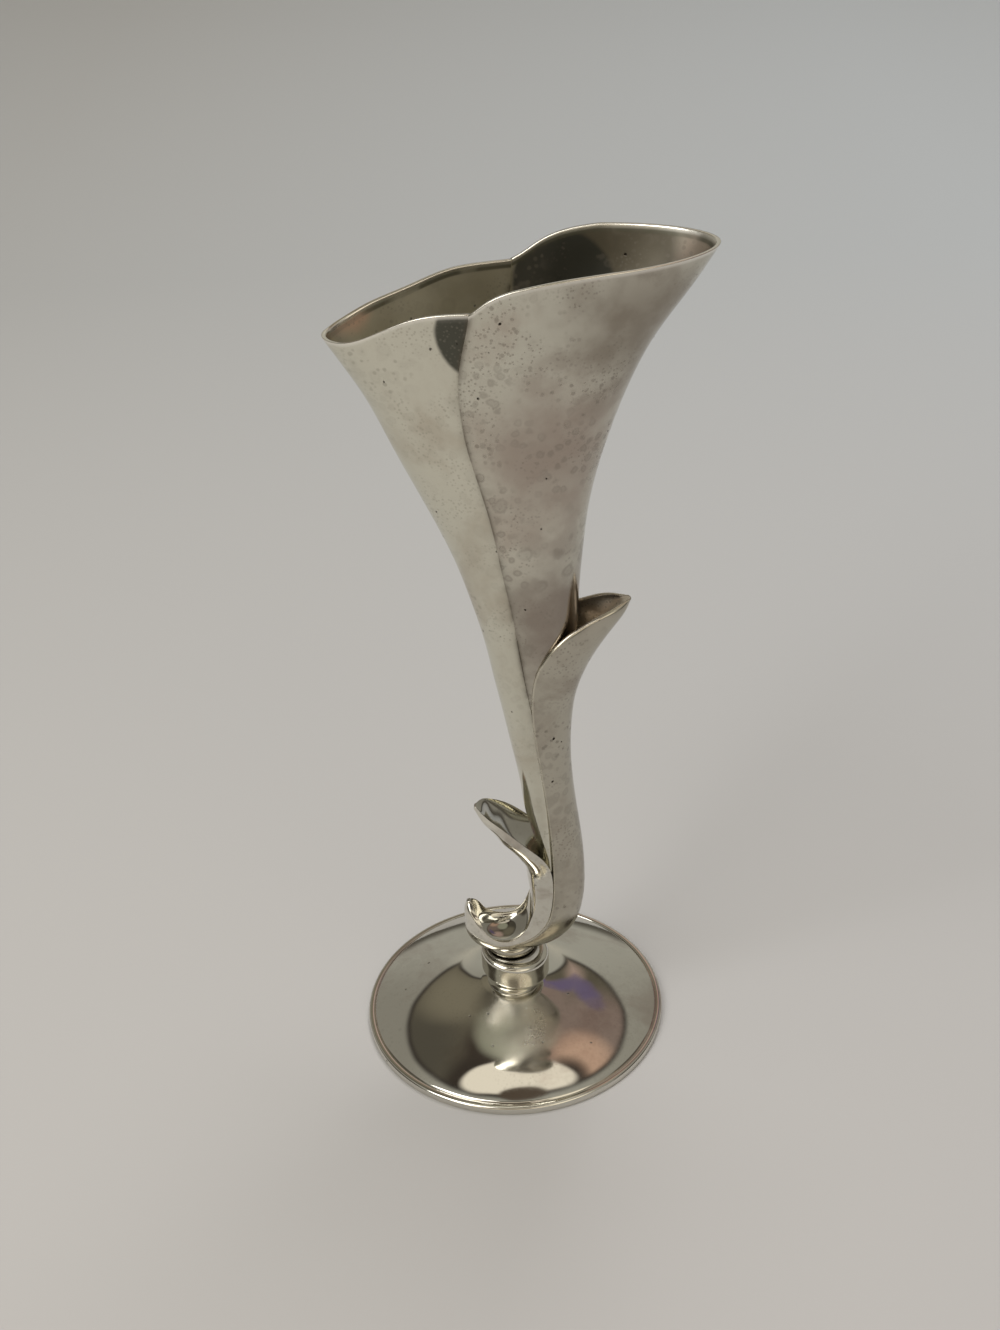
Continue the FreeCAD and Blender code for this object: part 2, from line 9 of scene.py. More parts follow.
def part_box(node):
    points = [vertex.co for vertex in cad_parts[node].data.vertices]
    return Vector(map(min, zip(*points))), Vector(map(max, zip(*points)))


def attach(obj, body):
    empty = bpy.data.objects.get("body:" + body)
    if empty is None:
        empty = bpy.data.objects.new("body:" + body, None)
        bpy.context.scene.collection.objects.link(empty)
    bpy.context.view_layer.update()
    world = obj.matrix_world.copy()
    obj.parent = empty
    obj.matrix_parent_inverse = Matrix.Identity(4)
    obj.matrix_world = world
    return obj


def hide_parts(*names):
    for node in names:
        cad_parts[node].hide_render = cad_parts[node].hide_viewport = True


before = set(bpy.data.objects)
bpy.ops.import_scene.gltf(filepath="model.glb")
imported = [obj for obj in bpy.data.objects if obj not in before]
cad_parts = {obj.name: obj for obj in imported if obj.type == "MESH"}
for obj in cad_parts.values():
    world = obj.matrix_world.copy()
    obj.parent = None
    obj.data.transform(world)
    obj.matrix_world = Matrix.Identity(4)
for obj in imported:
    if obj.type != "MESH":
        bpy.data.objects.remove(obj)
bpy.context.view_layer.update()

# Lily-shaped trumpet vase of aged silver plate: two lapped petals on a cast stem with
# a leaf and a scroll, a turned collar and a spun foot. Metres, Z up, Y to the back.

MM = 0.001
FOOT_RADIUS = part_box("foot_shell")[1].x
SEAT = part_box("collar")[1].z
LEAF_TIP = 112.3 * MM
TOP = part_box("right_petal")[1].z
LEFT_REACH = 30.2 * MM
RIGHT_REACH = 45.2 * MM
MOUTH_DEPTH = 29.0 * MM
STEM_WIDTH = 12.5 * MM
HALF_STEM = 6.2 * MM
PETAL_WALL = 0.9 * MM
PETAL_LAP = 0.45 * MM
PETAL_UNDERLAP = 0.5 * MM
LEAF_WALL = 1.1 * MM


def height(level):
    """Height of a level: 0 is the seat on the collar, 1 the leaf's tip, 2 the top."""
    level = np.asarray(level, float)
    below = SEAT + (LEAF_TIP - SEAT) * level
    above = LEAF_TIP + (TOP - LEAF_TIP) * (level - 1)
    return np.where(level <= 1, below, above)


def share_of_way(low, high, value):
    """How far a value has come from low to high, kept from 0 to 1."""
    return np.clip((value - low) / (high - low), 0, 1)


def smooth_through(knots, values):
    """Curve without kinks through the rows of a table, as a function of the knots."""
    order = np.argsort(knots)
    knots = np.asarray(knots, float)[order]
    values = np.asarray(values, float)[order]
    gaps = np.diff(knots)
    slopes = np.diff(values, axis=0) / gaps[:, None]
    system = np.eye(len(knots))
    target = np.zeros_like(values)
    for k in range(1, len(knots) - 1):
        system[k, k - 1:k + 2] = gaps[k - 1], 2 * (gaps[k - 1] + gaps[k]), gaps[k]
        target[k] = 6 * (slopes[k] - slopes[k - 1])
    bends = np.linalg.solve(system, target)

    def at(places):
        places = np.clip(np.asarray(places, float), knots[0], knots[-1])
        k = np.clip(np.searchsorted(knots, places) - 1, 0, len(knots) - 2)
        gap = gaps[k][..., None]
        after = (places - knots[k])[..., None] / gap
        before = 1 - after
        bend = (before ** 3 - before) * bends[k] + (after ** 3 - after) * bends[k + 1]
        return before * values[k] + after * values[k + 1] + bend * gap ** 2 / 6

    return at


# Meshes

def grid_quads(index):
    """Four-sided faces between the neighbours of a table of vertex numbers."""
    return np.stack([index[:-1, :-1], index[1:, :-1], index[1:, 1:], index[:-1, 1:]],
                    axis=-1).reshape(-1, 4)


def face_outwards(mesh):
    """Turn the faces outwards and shade them smooth."""
    work = bmesh.new()
    work.from_mesh(mesh)
    bmesh.ops.recalc_face_normals(work, faces=work.faces)
    for face in work.faces:
        face.smooth = True
    work.to_mesh(mesh)
    work.free()


def dress(name, mesh, material, node):
    """A piece of the vase that stands for a CAD node."""
    face_outwards(mesh)
    mesh.materials.clear()
    mesh.materials.append(material)
    piece = bpy.data.objects.new(name, mesh)
    bpy.context.scene.collection.objects.link(piece)
    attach(piece, "root")
    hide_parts(node)


def add_piece(name, points, faces, material, node, marks=None):
    """A piece from its points and faces, with the marks that its material reads."""
    mesh = bpy.data.meshes.new(name)
    mesh.from_pydata(np.asarray(points).tolist(), [], faces)
    for mark, values in (marks or {}).items():
        layer = mesh.attributes.new(mark, "FLOAT", "POINT")
        layer.data.foreach_set("value", np.asarray(values, np.float32))
    dress(name, mesh, material, node)


# Node trees

class Nodes:
    """Short ways to add nodes to a tree. Each value is a constant or a socket."""

    def __init__(self, tree):
        self.tree = tree

    def fill(self, node, values):
        for key, value in values.items():
            socket = node.inputs[key]
            if isinstance(value, bpy.types.NodeSocket):
                self.tree.links.new(value, socket)
            elif isinstance(value, tuple) and len(value) < len(socket.default_value):
                socket.default_value = (*value, 1)
            else:
                socket.default_value = value

    def add(self, kind, values=None, **settings):
        node = self.tree.nodes.new(kind)
        for name, setting in settings.items():
            setattr(node, name, setting)
        self.fill(node, values or {})
        return node

    def maths(self, kind, first, second=0.0, **settings):
        return self.add("ShaderNodeMath", {0: first, 1: second}, operation=kind,
                        **settings).outputs[0]

    def share(self, kind, first, *others):
        """Maths over the values in turn, with each result kept from 0 to 1."""
        for value in others:
            first = self.maths(kind, first, value, use_clamp=True)
        return first

    def vector_maths(self, kind, *values):
        return self.add("ShaderNodeVectorMath", dict(enumerate(values)),
                        operation=kind).outputs

    def band(self, value, low, high, into_low=0.0, into_high=1.0, way="SMOOTHSTEP"):
        """The value's way from low to high, kept within what it is turned into."""
        return self.add("ShaderNodeMapRange", {
            "Value": value, "From Min": low, "From Max": high, "To Min": into_low,
            "To Max": into_high}, interpolation_type=way).outputs["Result"]

    def blend(self, share, first, second):
        return self.add("ShaderNodeMix", {"Factor": share, 6: first, 7: second},
                        data_type="RGBA").outputs[2]


class Surface(Nodes):
    """Nodes of a new material, laid out by the place on the object."""

    def __init__(self, name):
        self.material = bpy.data.materials.new(name)
        self.material.use_nodes = True
        super().__init__(self.material.node_tree)
        self.shader = self.tree.nodes["Principled BSDF"]
        self.coordinates = self.add("ShaderNodeTexCoord").outputs
        self.place = self.coordinates["Object"]

    def noise(self, scale, detail, roughness=0.5, distortion=0.0, output="Fac"):
        return self.add("ShaderNodeTexNoise", {
            "Vector": self.place, "Scale": scale, "Detail": detail,
            "Roughness": roughness, "Distortion": distortion}).outputs[output]

    def cells(self, scale, waver):
        """Distance from spots strewn over the surface, with wavering outlines."""
        bend = self.noise(1.6 * scale, 2, output="Color")
        shift = self.vector_maths("MULTIPLY_ADD", bend, (waver / scale,) * 3, self.place)
        return self.add("ShaderNodeTexVoronoi",
                        {"Vector": shift[0], "Scale": scale}).outputs["Distance"]

    def mark(self, name):
        return self.add("ShaderNodeAttribute", attribute_name=name).outputs["Fac"]

    def away_from(self, centre):
        return self.vector_maths("DISTANCE", self.place, centre)["Value"]

    def bump(self, height, distance, below=None, strength=1.0, **settings):
        values = {"Height": height, "Distance": distance, "Strength": strength}
        if below:
            values["Normal"] = below
        return self.add("ShaderNodeBump", values, **settings).outputs["Normal"]


# Aged silver plate

INNER_COLOUR = (0.70, 0.665, 0.56)
INNER_SHARE = 0.8
INNER_DULLNESS = 0.2
# Soft patches: stains, painted reflections and painted shade.
STAIN_AND_PAINTED_LIGHT_SHARE = 0.9
STAIN_AND_PAINTED_LIGHT_WAVER = 0.15
SPOT_DARKENING = 0.5
SPOT_DULLNESS = 0.2
SHADED_DARKENING = 0.4
SHADED_LIMITS = (0.3, 0.75)
SHADED_SHARE = 0.5
PIT_COLOUR = (0.03, 0.025, 0.02)
PIT_DEPTH = 0.1 * MM
PIT_STRENGTH = 0.5
GRIME_COLOUR = (0.12, 0.10, 0.075)
LIP_COLOUR = (0.13, 0.13, 0.095)
LIP_POWER = 0.2
LIP_LIMITS = (0.3, 0.55)
# Bright rim colour: partly wear, partly a painted highlight.
WORN_RIM_AND_HIGHLIGHT_COLOUR = (0.92, 0.89, 0.82)
WORN_RIM_AND_HIGHLIGHT_SHARE = 0.8
WORN_GLOSS = 0.15
HAZE_CORE = 0.5
# Noises: how many to a metre and their detail, then the limits between which they are
# used and what these become.
MIDDLE_LIMITS = (0.3, 0.7)
PATCH_LIMITS = (0.66, 0.86)
STAIN_AND_PAINTED_LIGHT_NOISE = (150, 4)
DULLNESS_NOISE = (70, 4)
DENT_NOISE = (95, 1)
GRIME_NOISE, GRIME_LIMITS = (160, 3), (0.3, 0.65, 0.15, 0.8)
LIP_NOISE, LIP_NOISE_LIMITS = (120, 2), (0.38, 0.55, 0.25, 0.85)
# Dots: how many to a metre, their radius in cells, the noise that gathers them with its
# two limits, their strength and how much they waver. DOT_CORE is the full share of them.
DOTS = (
    (1250, 0.38, 110, 0.40, 0.62, 0.6, 0.2),
    (600, 0.34, 70, 0.45, 0.66, 0.7, 0.25),
)
DOT_CORE = 0.55
# Blotches: how many to a metre and the noise that gathers them. Each is a ring that
# rises and falls with the distance from its middle, over a fainter filled spot.
BLOTCHES = ((230, 45), (400, 38))
BLOTCH_GATHERED = (0.47, 0.62)
BLOTCH_WAVER = 0.45
RING_RISE = (0.12, 0.24)
RING_FALL = (0.28, 0.44)
RING_SHARE = 0.8
FILLED_FALL = (0.04, 0.42)
FILLED_SHARE = 0.6
# Pits: how many to a metre, their waver and edge, the noise that gathers them.
PIT_SCALE = 330
PIT_WAVER = 0.3
PIT_EDGE = (0.07, 0.12)
PIT_GATHER = 140
PIT_GATHERED = (0.60, 0.64)


def tarnish_spots(tree, specks, blotches, pits):
    """Shares of the surface that spots and pits cover, from their strengths."""
    layers = []
    for scale, radius, gather, low, high, strength, waver in DOTS:
        layers.append(tree.share(
            "MULTIPLY", tree.band(tree.cells(scale, waver), radius, DOT_CORE * radius),
            tree.band(tree.noise(gather, 2), low, high, 0, strength * specks)))
    for scale, gather in BLOTCHES:
        near = tree.cells(scale, BLOTCH_WAVER)
        ring = tree.share("MULTIPLY", tree.band(near, *RING_RISE),
                          tree.band(near, *RING_FALL, 1, 0), RING_SHARE)
        filled = tree.band(near, *FILLED_FALL, FILLED_SHARE, 0)
        layers.append(tree.share(
            "MULTIPLY", tree.share("MAXIMUM", ring, filled),
            tree.band(tree.noise(gather, 2), *BLOTCH_GATHERED, 0, blotches)))
    pitted = tree.share(
        "MULTIPLY", tree.band(tree.cells(PIT_SCALE, PIT_WAVER), *PIT_EDGE, 1, 0),
        tree.band(tree.noise(PIT_GATHER, 0), *PIT_GATHERED, 0, pits))
    return tree.share("MAXIMUM", *layers), pitted


def with_stains_and_painted_light(tree, colour, inner, stains_and_painted_light, inner_stains_and_painted_light):
    """The colour with soft stains, painted reflections and painted shade, outside and in.
    """
    outer = tree.share("SUBTRACT", 1.0, inner)
    for side, marked in ((outer, stains_and_painted_light), (inner, inner_stains_and_painted_light)):
        # Some of these patches are painted reflections and painted shade, not stains.
        for centre, radius, softness, patch_tone in marked:
            waver = STAIN_AND_PAINTED_LIGHT_WAVER * softness * radius
            edge = tree.maths("ADD", tree.away_from(centre),
                              tree.band(tree.noise(*STAIN_AND_PAINTED_LIGHT_NOISE), *MIDDLE_LIMITS,
                                        -waver, waver))
            covered = tree.band(edge, radius, (1 - softness) * radius, 0, STAIN_AND_PAINTED_LIGHT_SHARE)
            colour = tree.blend(tree.share("MULTIPLY", side, covered), colour, patch_tone)
    return colour


def edge_grime_wear_and_highlight(tree, colour, rough, inner):
    """Seam grime, a dark inner lip, and a rim bright from wear and a painted highlight."""
    rim = tree.mark("rim_near")
    grime = tree.share("MULTIPLY", tree.mark("seam_near"),
                       tree.band(tree.noise(*GRIME_NOISE), *GRIME_LIMITS))
    lip = tree.share("MULTIPLY",
                     tree.band(tree.share("POWER", rim, LIP_POWER), *LIP_LIMITS),
                     inner, tree.band(tree.noise(*LIP_NOISE), *LIP_NOISE_LIMITS))
    # The bright rim is partly wear and partly a painted highlight, with a glossier finish.
    worn_rim_and_highlight = tree.share("MULTIPLY", rim, WORN_RIM_AND_HIGHLIGHT_SHARE)
    for share, tone in ((grime, GRIME_COLOUR), (lip, LIP_COLOUR), (worn_rim_and_highlight, WORN_RIM_AND_HIGHLIGHT_COLOUR)):
        colour = tree.blend(share, colour, tone)
    return colour, tree.share("SUBTRACT", rough,
                              tree.share("MULTIPLY", worn_rim_and_highlight, WORN_GLOSS))


def silver(name, light, tarnished, patches, strengths, roughness, dents, seamed=False,
           stains_and_painted_light=(), inner_stains_and_painted_light=(), shaded_side=None, cove=None, haze=None):
    """Aged silver plate: patches of tarnish, fine specks, ring-shaped blotches and pits.

    light and tarnished are the two colours, patches their scale and the tarnished share,
    strengths those of the specks, blotches and pits, and dents the depth of the soft
    unevenness. Each of stains_and_painted_light has a centre, a radius, a softness share
    and a colour: some are stains, and others are painted reflections and painted shade.
    inner_stains_and_painted_light lie on the hollow side. shaded_side is the way that
    faces with painted shade look.
    cove is a soft rise towards the axis: its inner and outer radius and its height. haze
    is a dull area: its centre, its radius and the roughness that it adds.
    """
    tree = Surface(name)
    inner = tree.mark("inner_side")
    scale, share = patches
    patchy = tree.band(tree.noise(scale, 5, roughness=0.6, distortion=0.4),
                       *(limit - share for limit in PATCH_LIMITS))
    colour = tree.blend(patchy, light, tarnished)
    colour = tree.blend(tree.share("MULTIPLY", inner, INNER_SHARE), colour, INNER_COLOUR)
    colour = with_stains_and_painted_light(tree, colour, inner, stains_and_painted_light, inner_stains_and_painted_light)
    spots, pits = tarnish_spots(tree, *strengths)
    colour = tree.blend(spots, colour, tuple(SPOT_DARKENING * c for c in tarnished))
    colour = tree.blend(pits, colour, PIT_COLOUR)
    marked = tree.share("ADD", spots, pits)
    rough = tree.share(
        "ADD", tree.band(tree.noise(*DULLNESS_NOISE), *MIDDLE_LIMITS, *roughness),
        tree.share("MULTIPLY", marked, SPOT_DULLNESS),
        tree.share("MULTIPLY", inner, INNER_DULLNESS))
    if haze:
        centre, reach, amount = haze
        rough = tree.share("ADD", rough, tree.band(
            tree.away_from(centre), HAZE_CORE * reach, reach, amount, 0))
    # Painted shade: faces turned towards shaded_side are darkened.
    if shaded_side:
        facing = tree.vector_maths("DOT_PRODUCT", tree.coordinates["Normal"],
                                   shaded_side)["Value"]
        colour = tree.blend(tree.band(facing, *SHADED_LIMITS, 0, SHADED_SHARE), colour,
                            tuple(SHADED_DARKENING * c for c in tarnished))
    if seamed:
        colour, rough = edge_grime_wear_and_highlight(tree, colour, rough, inner)
    relief = tree.bump(tree.noise(*DENT_NOISE), dents)
    relief = tree.bump(pits, PIT_DEPTH, relief, strength=PIT_STRENGTH, invert=True)
    if cove:
        inner_radius, outer_radius, rise = cove
        level_place = tree.vector_maths("MULTIPLY", tree.place, (1, 1, 0))[0]
        radius = tree.vector_maths("LENGTH", level_place)["Value"]
        near = tree.band(radius, outer_radius, inner_radius, way="LINEAR")
        relief = tree.bump(tree.share("POWER", near, 2), rise, relief)
    tree.fill(tree.shader, {"Base Color": colour, "Metallic": 1.0, "Roughness": rough,
                            "Normal": relief})
    return tree.material


left_petal_silver = silver(
    "left_petal_silver", (0.68, 0.665, 0.57), (0.55, 0.51, 0.42), (30, 0.18),
    (0.5, 0.14, 0.8), (0.12, 0.20), 0.15 * MM, seamed=True,
    # The first outer patch is a painted dark reflection near the top of the front seam.
    stains_and_painted_light=(((0.0006, -0.0148, 0.1765), 0.0098, 0.10, (0.032, 0.034, 0.025)),
            ((-0.0062, -0.0130, 0.1625), 0.0032, 1.0, (0.20, 0.17, 0.13))),
    # Both hollow-side patches are painted reflections, a peach one and a near-white one.
    inner_stains_and_painted_light=(((-0.024, 0.004, 0.176), 0.007, 0.5, (1.0, 0.72, 0.60)),
                  ((-0.009, 0.009, 0.172), 0.012, 0.9, (0.97, 0.95, 0.85))))
right_petal_silver = silver(
    "right_petal_silver", (0.64, 0.625, 0.54), (0.52, 0.465, 0.395), (26, 0.16),
    (0.8, 0.55, 1.0), (0.14, 0.24), 0.15 * MM, seamed=True,
    stains_and_painted_light=(((0.015, -0.015, 0.150), 0.028, 0.9, (0.40, 0.335, 0.285)),
            ((0.031, -0.013, 0.175), 0.024, 0.9, (0.27, 0.235, 0.19)),
            ((0.016, -0.008, 0.110), 0.026, 0.9, (0.28, 0.235, 0.20))),
    inner_stains_and_painted_light=(((0.028, 0.012, 0.180), 0.020, 0.5, (0.115, 0.10, 0.075)),
                  # The second hollow-side patch is a painted reflection of a dark panel.
                  ((0.0165, 0.0135, 0.176), 0.0105, 0.12, (0.07, 0.073, 0.068)),
                  ((0.043, 0.002, 0.184), 0.009, 0.6, (0.48, 0.40, 0.33))))
stem_silver = silver(
    "stem_silver", (0.48, 0.455, 0.385), (0.37, 0.335, 0.28), (60, 0.20),
    (0.7, 0.3, 1.0), (0.10, 0.20), 0.1 * MM,
    # The hollow-side patch is a painted reflection that lightens the inside of the leaf's
    # cup.
    inner_stains_and_painted_light=(((0.022, 0.0, 0.108), 0.014, 0.6, (0.92, 0.84, 0.74)),))
scroll_silver = silver(
    "scroll_silver", (0.72, 0.70, 0.63), (0.52, 0.48, 0.42), (90, 0.16),
    # shaded_side paints shade on the faces turned up, in the leaf and the cup.
    (0.35, 0.1, 0.5), (0.06, 0.13), 0.1 * MM, shaded_side=(0.0, 0.0, 1.0))
collar_silver = silver(
    "collar_silver", (0.70, 0.68, 0.61), (0.55, 0.50, 0.44), (90, 0.16),
    (0.15, 0.1, 0.6), (0.03, 0.07), 0.05 * MM,
    # This patch is painted shade on the flange and the top of the bead, under the scroll
    # and the pad.
    stains_and_painted_light=(((0.0, 0.0, 0.0188), 0.0066, 0.12, (0.10, 0.09, 0.075)),))
foot_silver = silver(
    "foot_silver", (0.68, 0.66, 0.60), (0.56, 0.51, 0.46), (45, 0.16),
    (0.15, 0.1, 0.6), (0.03, 0.07), 0.05 * MM, cove=(0.006, 0.0145, 0.0011),
    haze=((0.0, -0.0140, 0.0060), 0.0125, 0.2))


# Petals of the funnel

# Level, left and right edge in stem widths, half depth in half stem depths.
FUNNEL_SHARES = (
    (0.248, 0.74, 0.82, 0.84),
    (0.307, 0.58, 0.92, 0.87),
    (0.361, 0.47, 0.96, 0.89),
    (0.436, 0.35, 1.01, 0.90),
    (0.501, 0.30, 1.03, 0.92),
    (0.615, 0.17, 1.08, 0.95),
    (0.713, 0.05, 1.15, 1.02),
    (0.814, -0.08, 1.25, 1.13),
)
THROAT_RIGHT_SHARE = 1.4
THROAT_DEPTH_SHARE = 1.3
# Level, left edge in left reaches, right edge and half depth from the throat (0) to
# the mouth (1), and how far the oval swells to the right.
FLARE_SHARES = (
    (0.921, 0.09, -0.02, -0.06, 0.05),
    (1.02, 0.16, 0.00, 0.05, 0.08),
    (1.14, 0.245, 0.03, 0.16, 0.11),
    (1.34, 0.44, 0.11, 0.35, 0.16),
    (1.50, 0.61, 0.235, 0.50, 0.20),
    (1.66, 0.78, 0.405, 0.69, 0.23),
    (1.79, 0.965, 0.60, 0.81, 0.26),
    (1.89, 1.09, 0.80, 0.91, 0.27),
    (2.00, 1.20, 1.00, 0.97, 0.27),
    (2.10, 1.30, 1.18, 1.02, 0.27),
)
BLUNT_SHARE = 0.75
LAP_SIDE_SHARE = 0.5
LAP_LOW_LEVEL = 0.95
LAP_FULL_LEVEL = 1.2
NARROW_WALL_SHARE = 0.8
# Side view of the seams, from the rim down, and of the stretch below that both share:
# stem widths across and levels up.
FRONT_SEAM_SHARES = (
    (-0.15, 1.95), (-0.16, 1.91), (-0.31, 1.79), (-0.37, 1.71), (-0.36, 1.64),
    (-0.30, 1.55), (-0.20, 1.47), (-0.01, 1.33), (0.15, 1.155), (0.27, 1.028),
    (0.36, 0.926), (0.45, 0.826),
)
BACK_SEAM_SHARES = (
    (0.55, 1.95), (0.52, 1.91), (0.40, 1.75), (0.32, 1.60), (0.28, 1.43),
    (0.30, 1.20), (0.38, 0.98), (0.46, 0.85),
)
LOW_SEAM_SHARES = (
    (0.50, 0.777), (0.58, 0.706), (0.72, 0.598), (0.86, 0.523), (1.09, 0.447),
    (1.44, 0.361),
)
# Rims in left or right reaches across and levels up, with the far end of each.
LEFT_TIP_SHARES = (-1.3, 1.806)
FRONT_RIM_SHARES = (
    (-0.96, 1.808), (-0.87, 1.812), (-0.66, 1.846), (-0.40, 1.892),
    (-0.20, 1.906), (0.00, 1.909), (0.40, 1.911),
)
BACK_RIM_SHARES = (
    (-0.96, 1.808), (-0.87, 1.818), (-0.72, 1.839), (-0.46, 1.868), (-0.17, 1.901),
    (0.02, 1.907), (0.40, 1.911),
)
FRONT_CORNER_SHARES = (
    (-0.060, 1.905), (-0.044, 1.908), (0.004, 1.929), (0.07, 1.953), (0.18, 1.972),
    (0.33, 1.986), (0.53, 1.994),
)
BACK_CORNER_SHARES = (
    (0.13, 1.905), (0.144, 1.908), (0.19, 1.921), (0.27, 1.951), (0.40, 1.981),
    (0.53, 1.994),
)
RIM_END_SHARES = (1.2, 2.0)
LEFT_LOW_LEVEL = 0.27
RIGHT_LOW_LEVEL = 0.50
RIM_ROUNDING = 0.3 * MM
SEAM_ROUNDING = 0.12 * MM
EDGE_STEPS = 4
SEAM_GRIME = 0.5 * MM
RIM_SHINE = 0.25 * MM
SEAM_ROUNDS = 4
# A rim's height is found by halving the stretch below this level.
SEARCH_TOP_LEVEL = 2.05
SEARCH_HALVINGS = 40
# Faces of a petal from seam to seam and from its low end to its rim.
LEFT_FACES = (110, 210)
RIGHT_FACES = (130, 190)


def funnel_table():
    """Left edge, right edge, half depth and swollen depth of the funnel by height."""
    heights, rows = [], []
    for level, left, right, depth in FUNNEL_SHARES:
        heights.append(height(level))
        rows.append((STEM_WIDTH * left, STEM_WIDTH * right, HALF_STEM * depth, 0))
    throat_right = STEM_WIDTH * THROAT_RIGHT_SHARE
    throat_depth = HALF_STEM * THROAT_DEPTH_SHARE
    for level, left, right, depth, swell in FLARE_SHARES:
        deep = throat_depth + (MOUTH_DEPTH / 2 - throat_depth) * depth
        heights.append(height(level))
        rows.append((-LEFT_REACH * left,
                     throat_right + (RIGHT_REACH - throat_right) * right,
                     deep, deep * swell))
    return smooth_through(heights, rows)


funnel_at = funnel_table()


def lap_share(z):
    return share_of_way(height(LAP_LOW_LEVEL), height(LAP_FULL_LEVEL), z)


def lap_lift(lean, z, lapped):
    """How far the lapped petal is lifted, where lean is the cosine of the turn."""
    near = share_of_way(LAP_SIDE_SHARE, 0, lean)
    return PETAL_LAP * lap_share(z) * lapped * near ** 2 * (3 - 2 * near)


def funnel_point(turn, z, inset_share, lapped):
    """A point of the funnel's wall: inset_share is 0 on its outside, 1 on its inside."""
    left, right, depth, swollen = np.moveaxis(funnel_at(z), -1, 0)
    half = (right - left) / 2
    inset = np.minimum(PETAL_WALL, NARROW_WALL_SHARE * half) * inset_share
    lean = np.cos(turn)
    shift = lap_lift(lean, z, lapped) - inset
    swell = 1 + swollen / depth * (lean - BLUNT_SHARE * lean ** 3)
    return np.stack([(left + right) / 2 + (half + shift) * lean,
                     (depth + shift) * np.sin(turn) * swell, z + 0 * turn], axis=-1)


def seam_line(shares):
    return smooth_through([height(level) for _, level in shares],
                          [[STEM_WIDTH * x] for x, _ in shares])


front_seam = seam_line(FRONT_SEAM_SHARES + LOW_SEAM_SHARES)
back_seam = seam_line(BACK_SEAM_SHARES + LOW_SEAM_SHARES)


def seam_turn(seam, z, lapped):
    """Turn from the right side at which the seam crosses a height."""
    left, right, _, _ = np.moveaxis(funnel_at(z), -1, 0)
    x = seam(z)[..., 0] - (left + right) / 2
    half = (right - left) / 2
    lean = np.clip(x / half, -1, 1)
    for _ in range(SEAM_ROUNDS):
        lean = np.clip(x / (half + lap_lift(lean, z, lapped)), -1, 1)
    return np.arccos(lean)


def rim_line(reach, shares, end):
    """Height of a rim over the side view's X, straight past the table's outer end."""
    xs = [reach * x for x, _ in shares]
    curve = smooth_through(xs, [[height(level)] for _, level in shares])
    outer = 0 if end[0] < shares[0][0] else -1
    near_x, near_z = xs[outer], float(height(shares[outer][1]))
    slope = (float(height(end[1])) - near_z) / (reach * end[0] - near_x)

    def at(x):
        past = x < near_x if outer == 0 else x > near_x
        return np.where(past, near_z + slope * (x - near_x), curve(x)[..., 0])

    return at


def turn_speed(turn, z):
    """Length of funnel passed for each radian of turn."""
    left, right, depth, _ = np.moveaxis(funnel_at(z), -1, 0)
    return np.hypot((right - left) / 2 * np.sin(turn), depth * np.cos(turn))


def rim_heights(turns, across, front_rim, back_rim, z_low, lapped):
    """Height at which each column of a petal meets its rim, found by halving."""
    low = np.full(len(across), z_low)
    high = np.full(len(across), float(height(SEARCH_TOP_LEVEL)))
    for _ in range(SEARCH_HALVINGS):
        z = (low + high) / 2
        turn = turns(across, z)
        x = funnel_point(turn, z, 0, lapped)[..., 0]
        over = z > np.where(np.sin(turn) < 0, front_rim(x), back_rim(x))
        low, high = np.where(over, low, z), np.where(over, z, high)
    return low


def edge_rings():
    """Rings of a rounded edge: share of the inset, and of the way through the wall."""
    angles = np.linspace(0, math.pi / 2, EDGE_STEPS + 1)[1:]
    rings = [(1 - math.sin(a), RIM_ROUNDING / 2 / PETAL_WALL * (1 - math.cos(a)))
             for a in angles]
    return rings + [(out, 1 - down) for out, down in reversed(rings)]


def petal_faces(shape, ring_count):
    """Faces of the two sides, of the rings round their edge and of the low end."""
    outside = np.arange(shape[0] * shape[1]).reshape(shape)
    inside = outside + outside.size
    edge = np.concatenate([outside[0, :-1], outside[:, -1], outside[-1, -2::-1]])
    between = 2 * outside.size + np.arange(ring_count * len(edge)).reshape(ring_count, -1)
    strips = np.concatenate([[edge], between, [edge + outside.size]])
    faces = np.concatenate([
        grid_quads(outside), grid_quads(inside), grid_quads(strips),
        grid_quads(np.stack([outside[:, 0], inside[:, 0]]))]).tolist()
    return faces + [strips[:, 0].tolist(), strips[:, -1].tolist()]


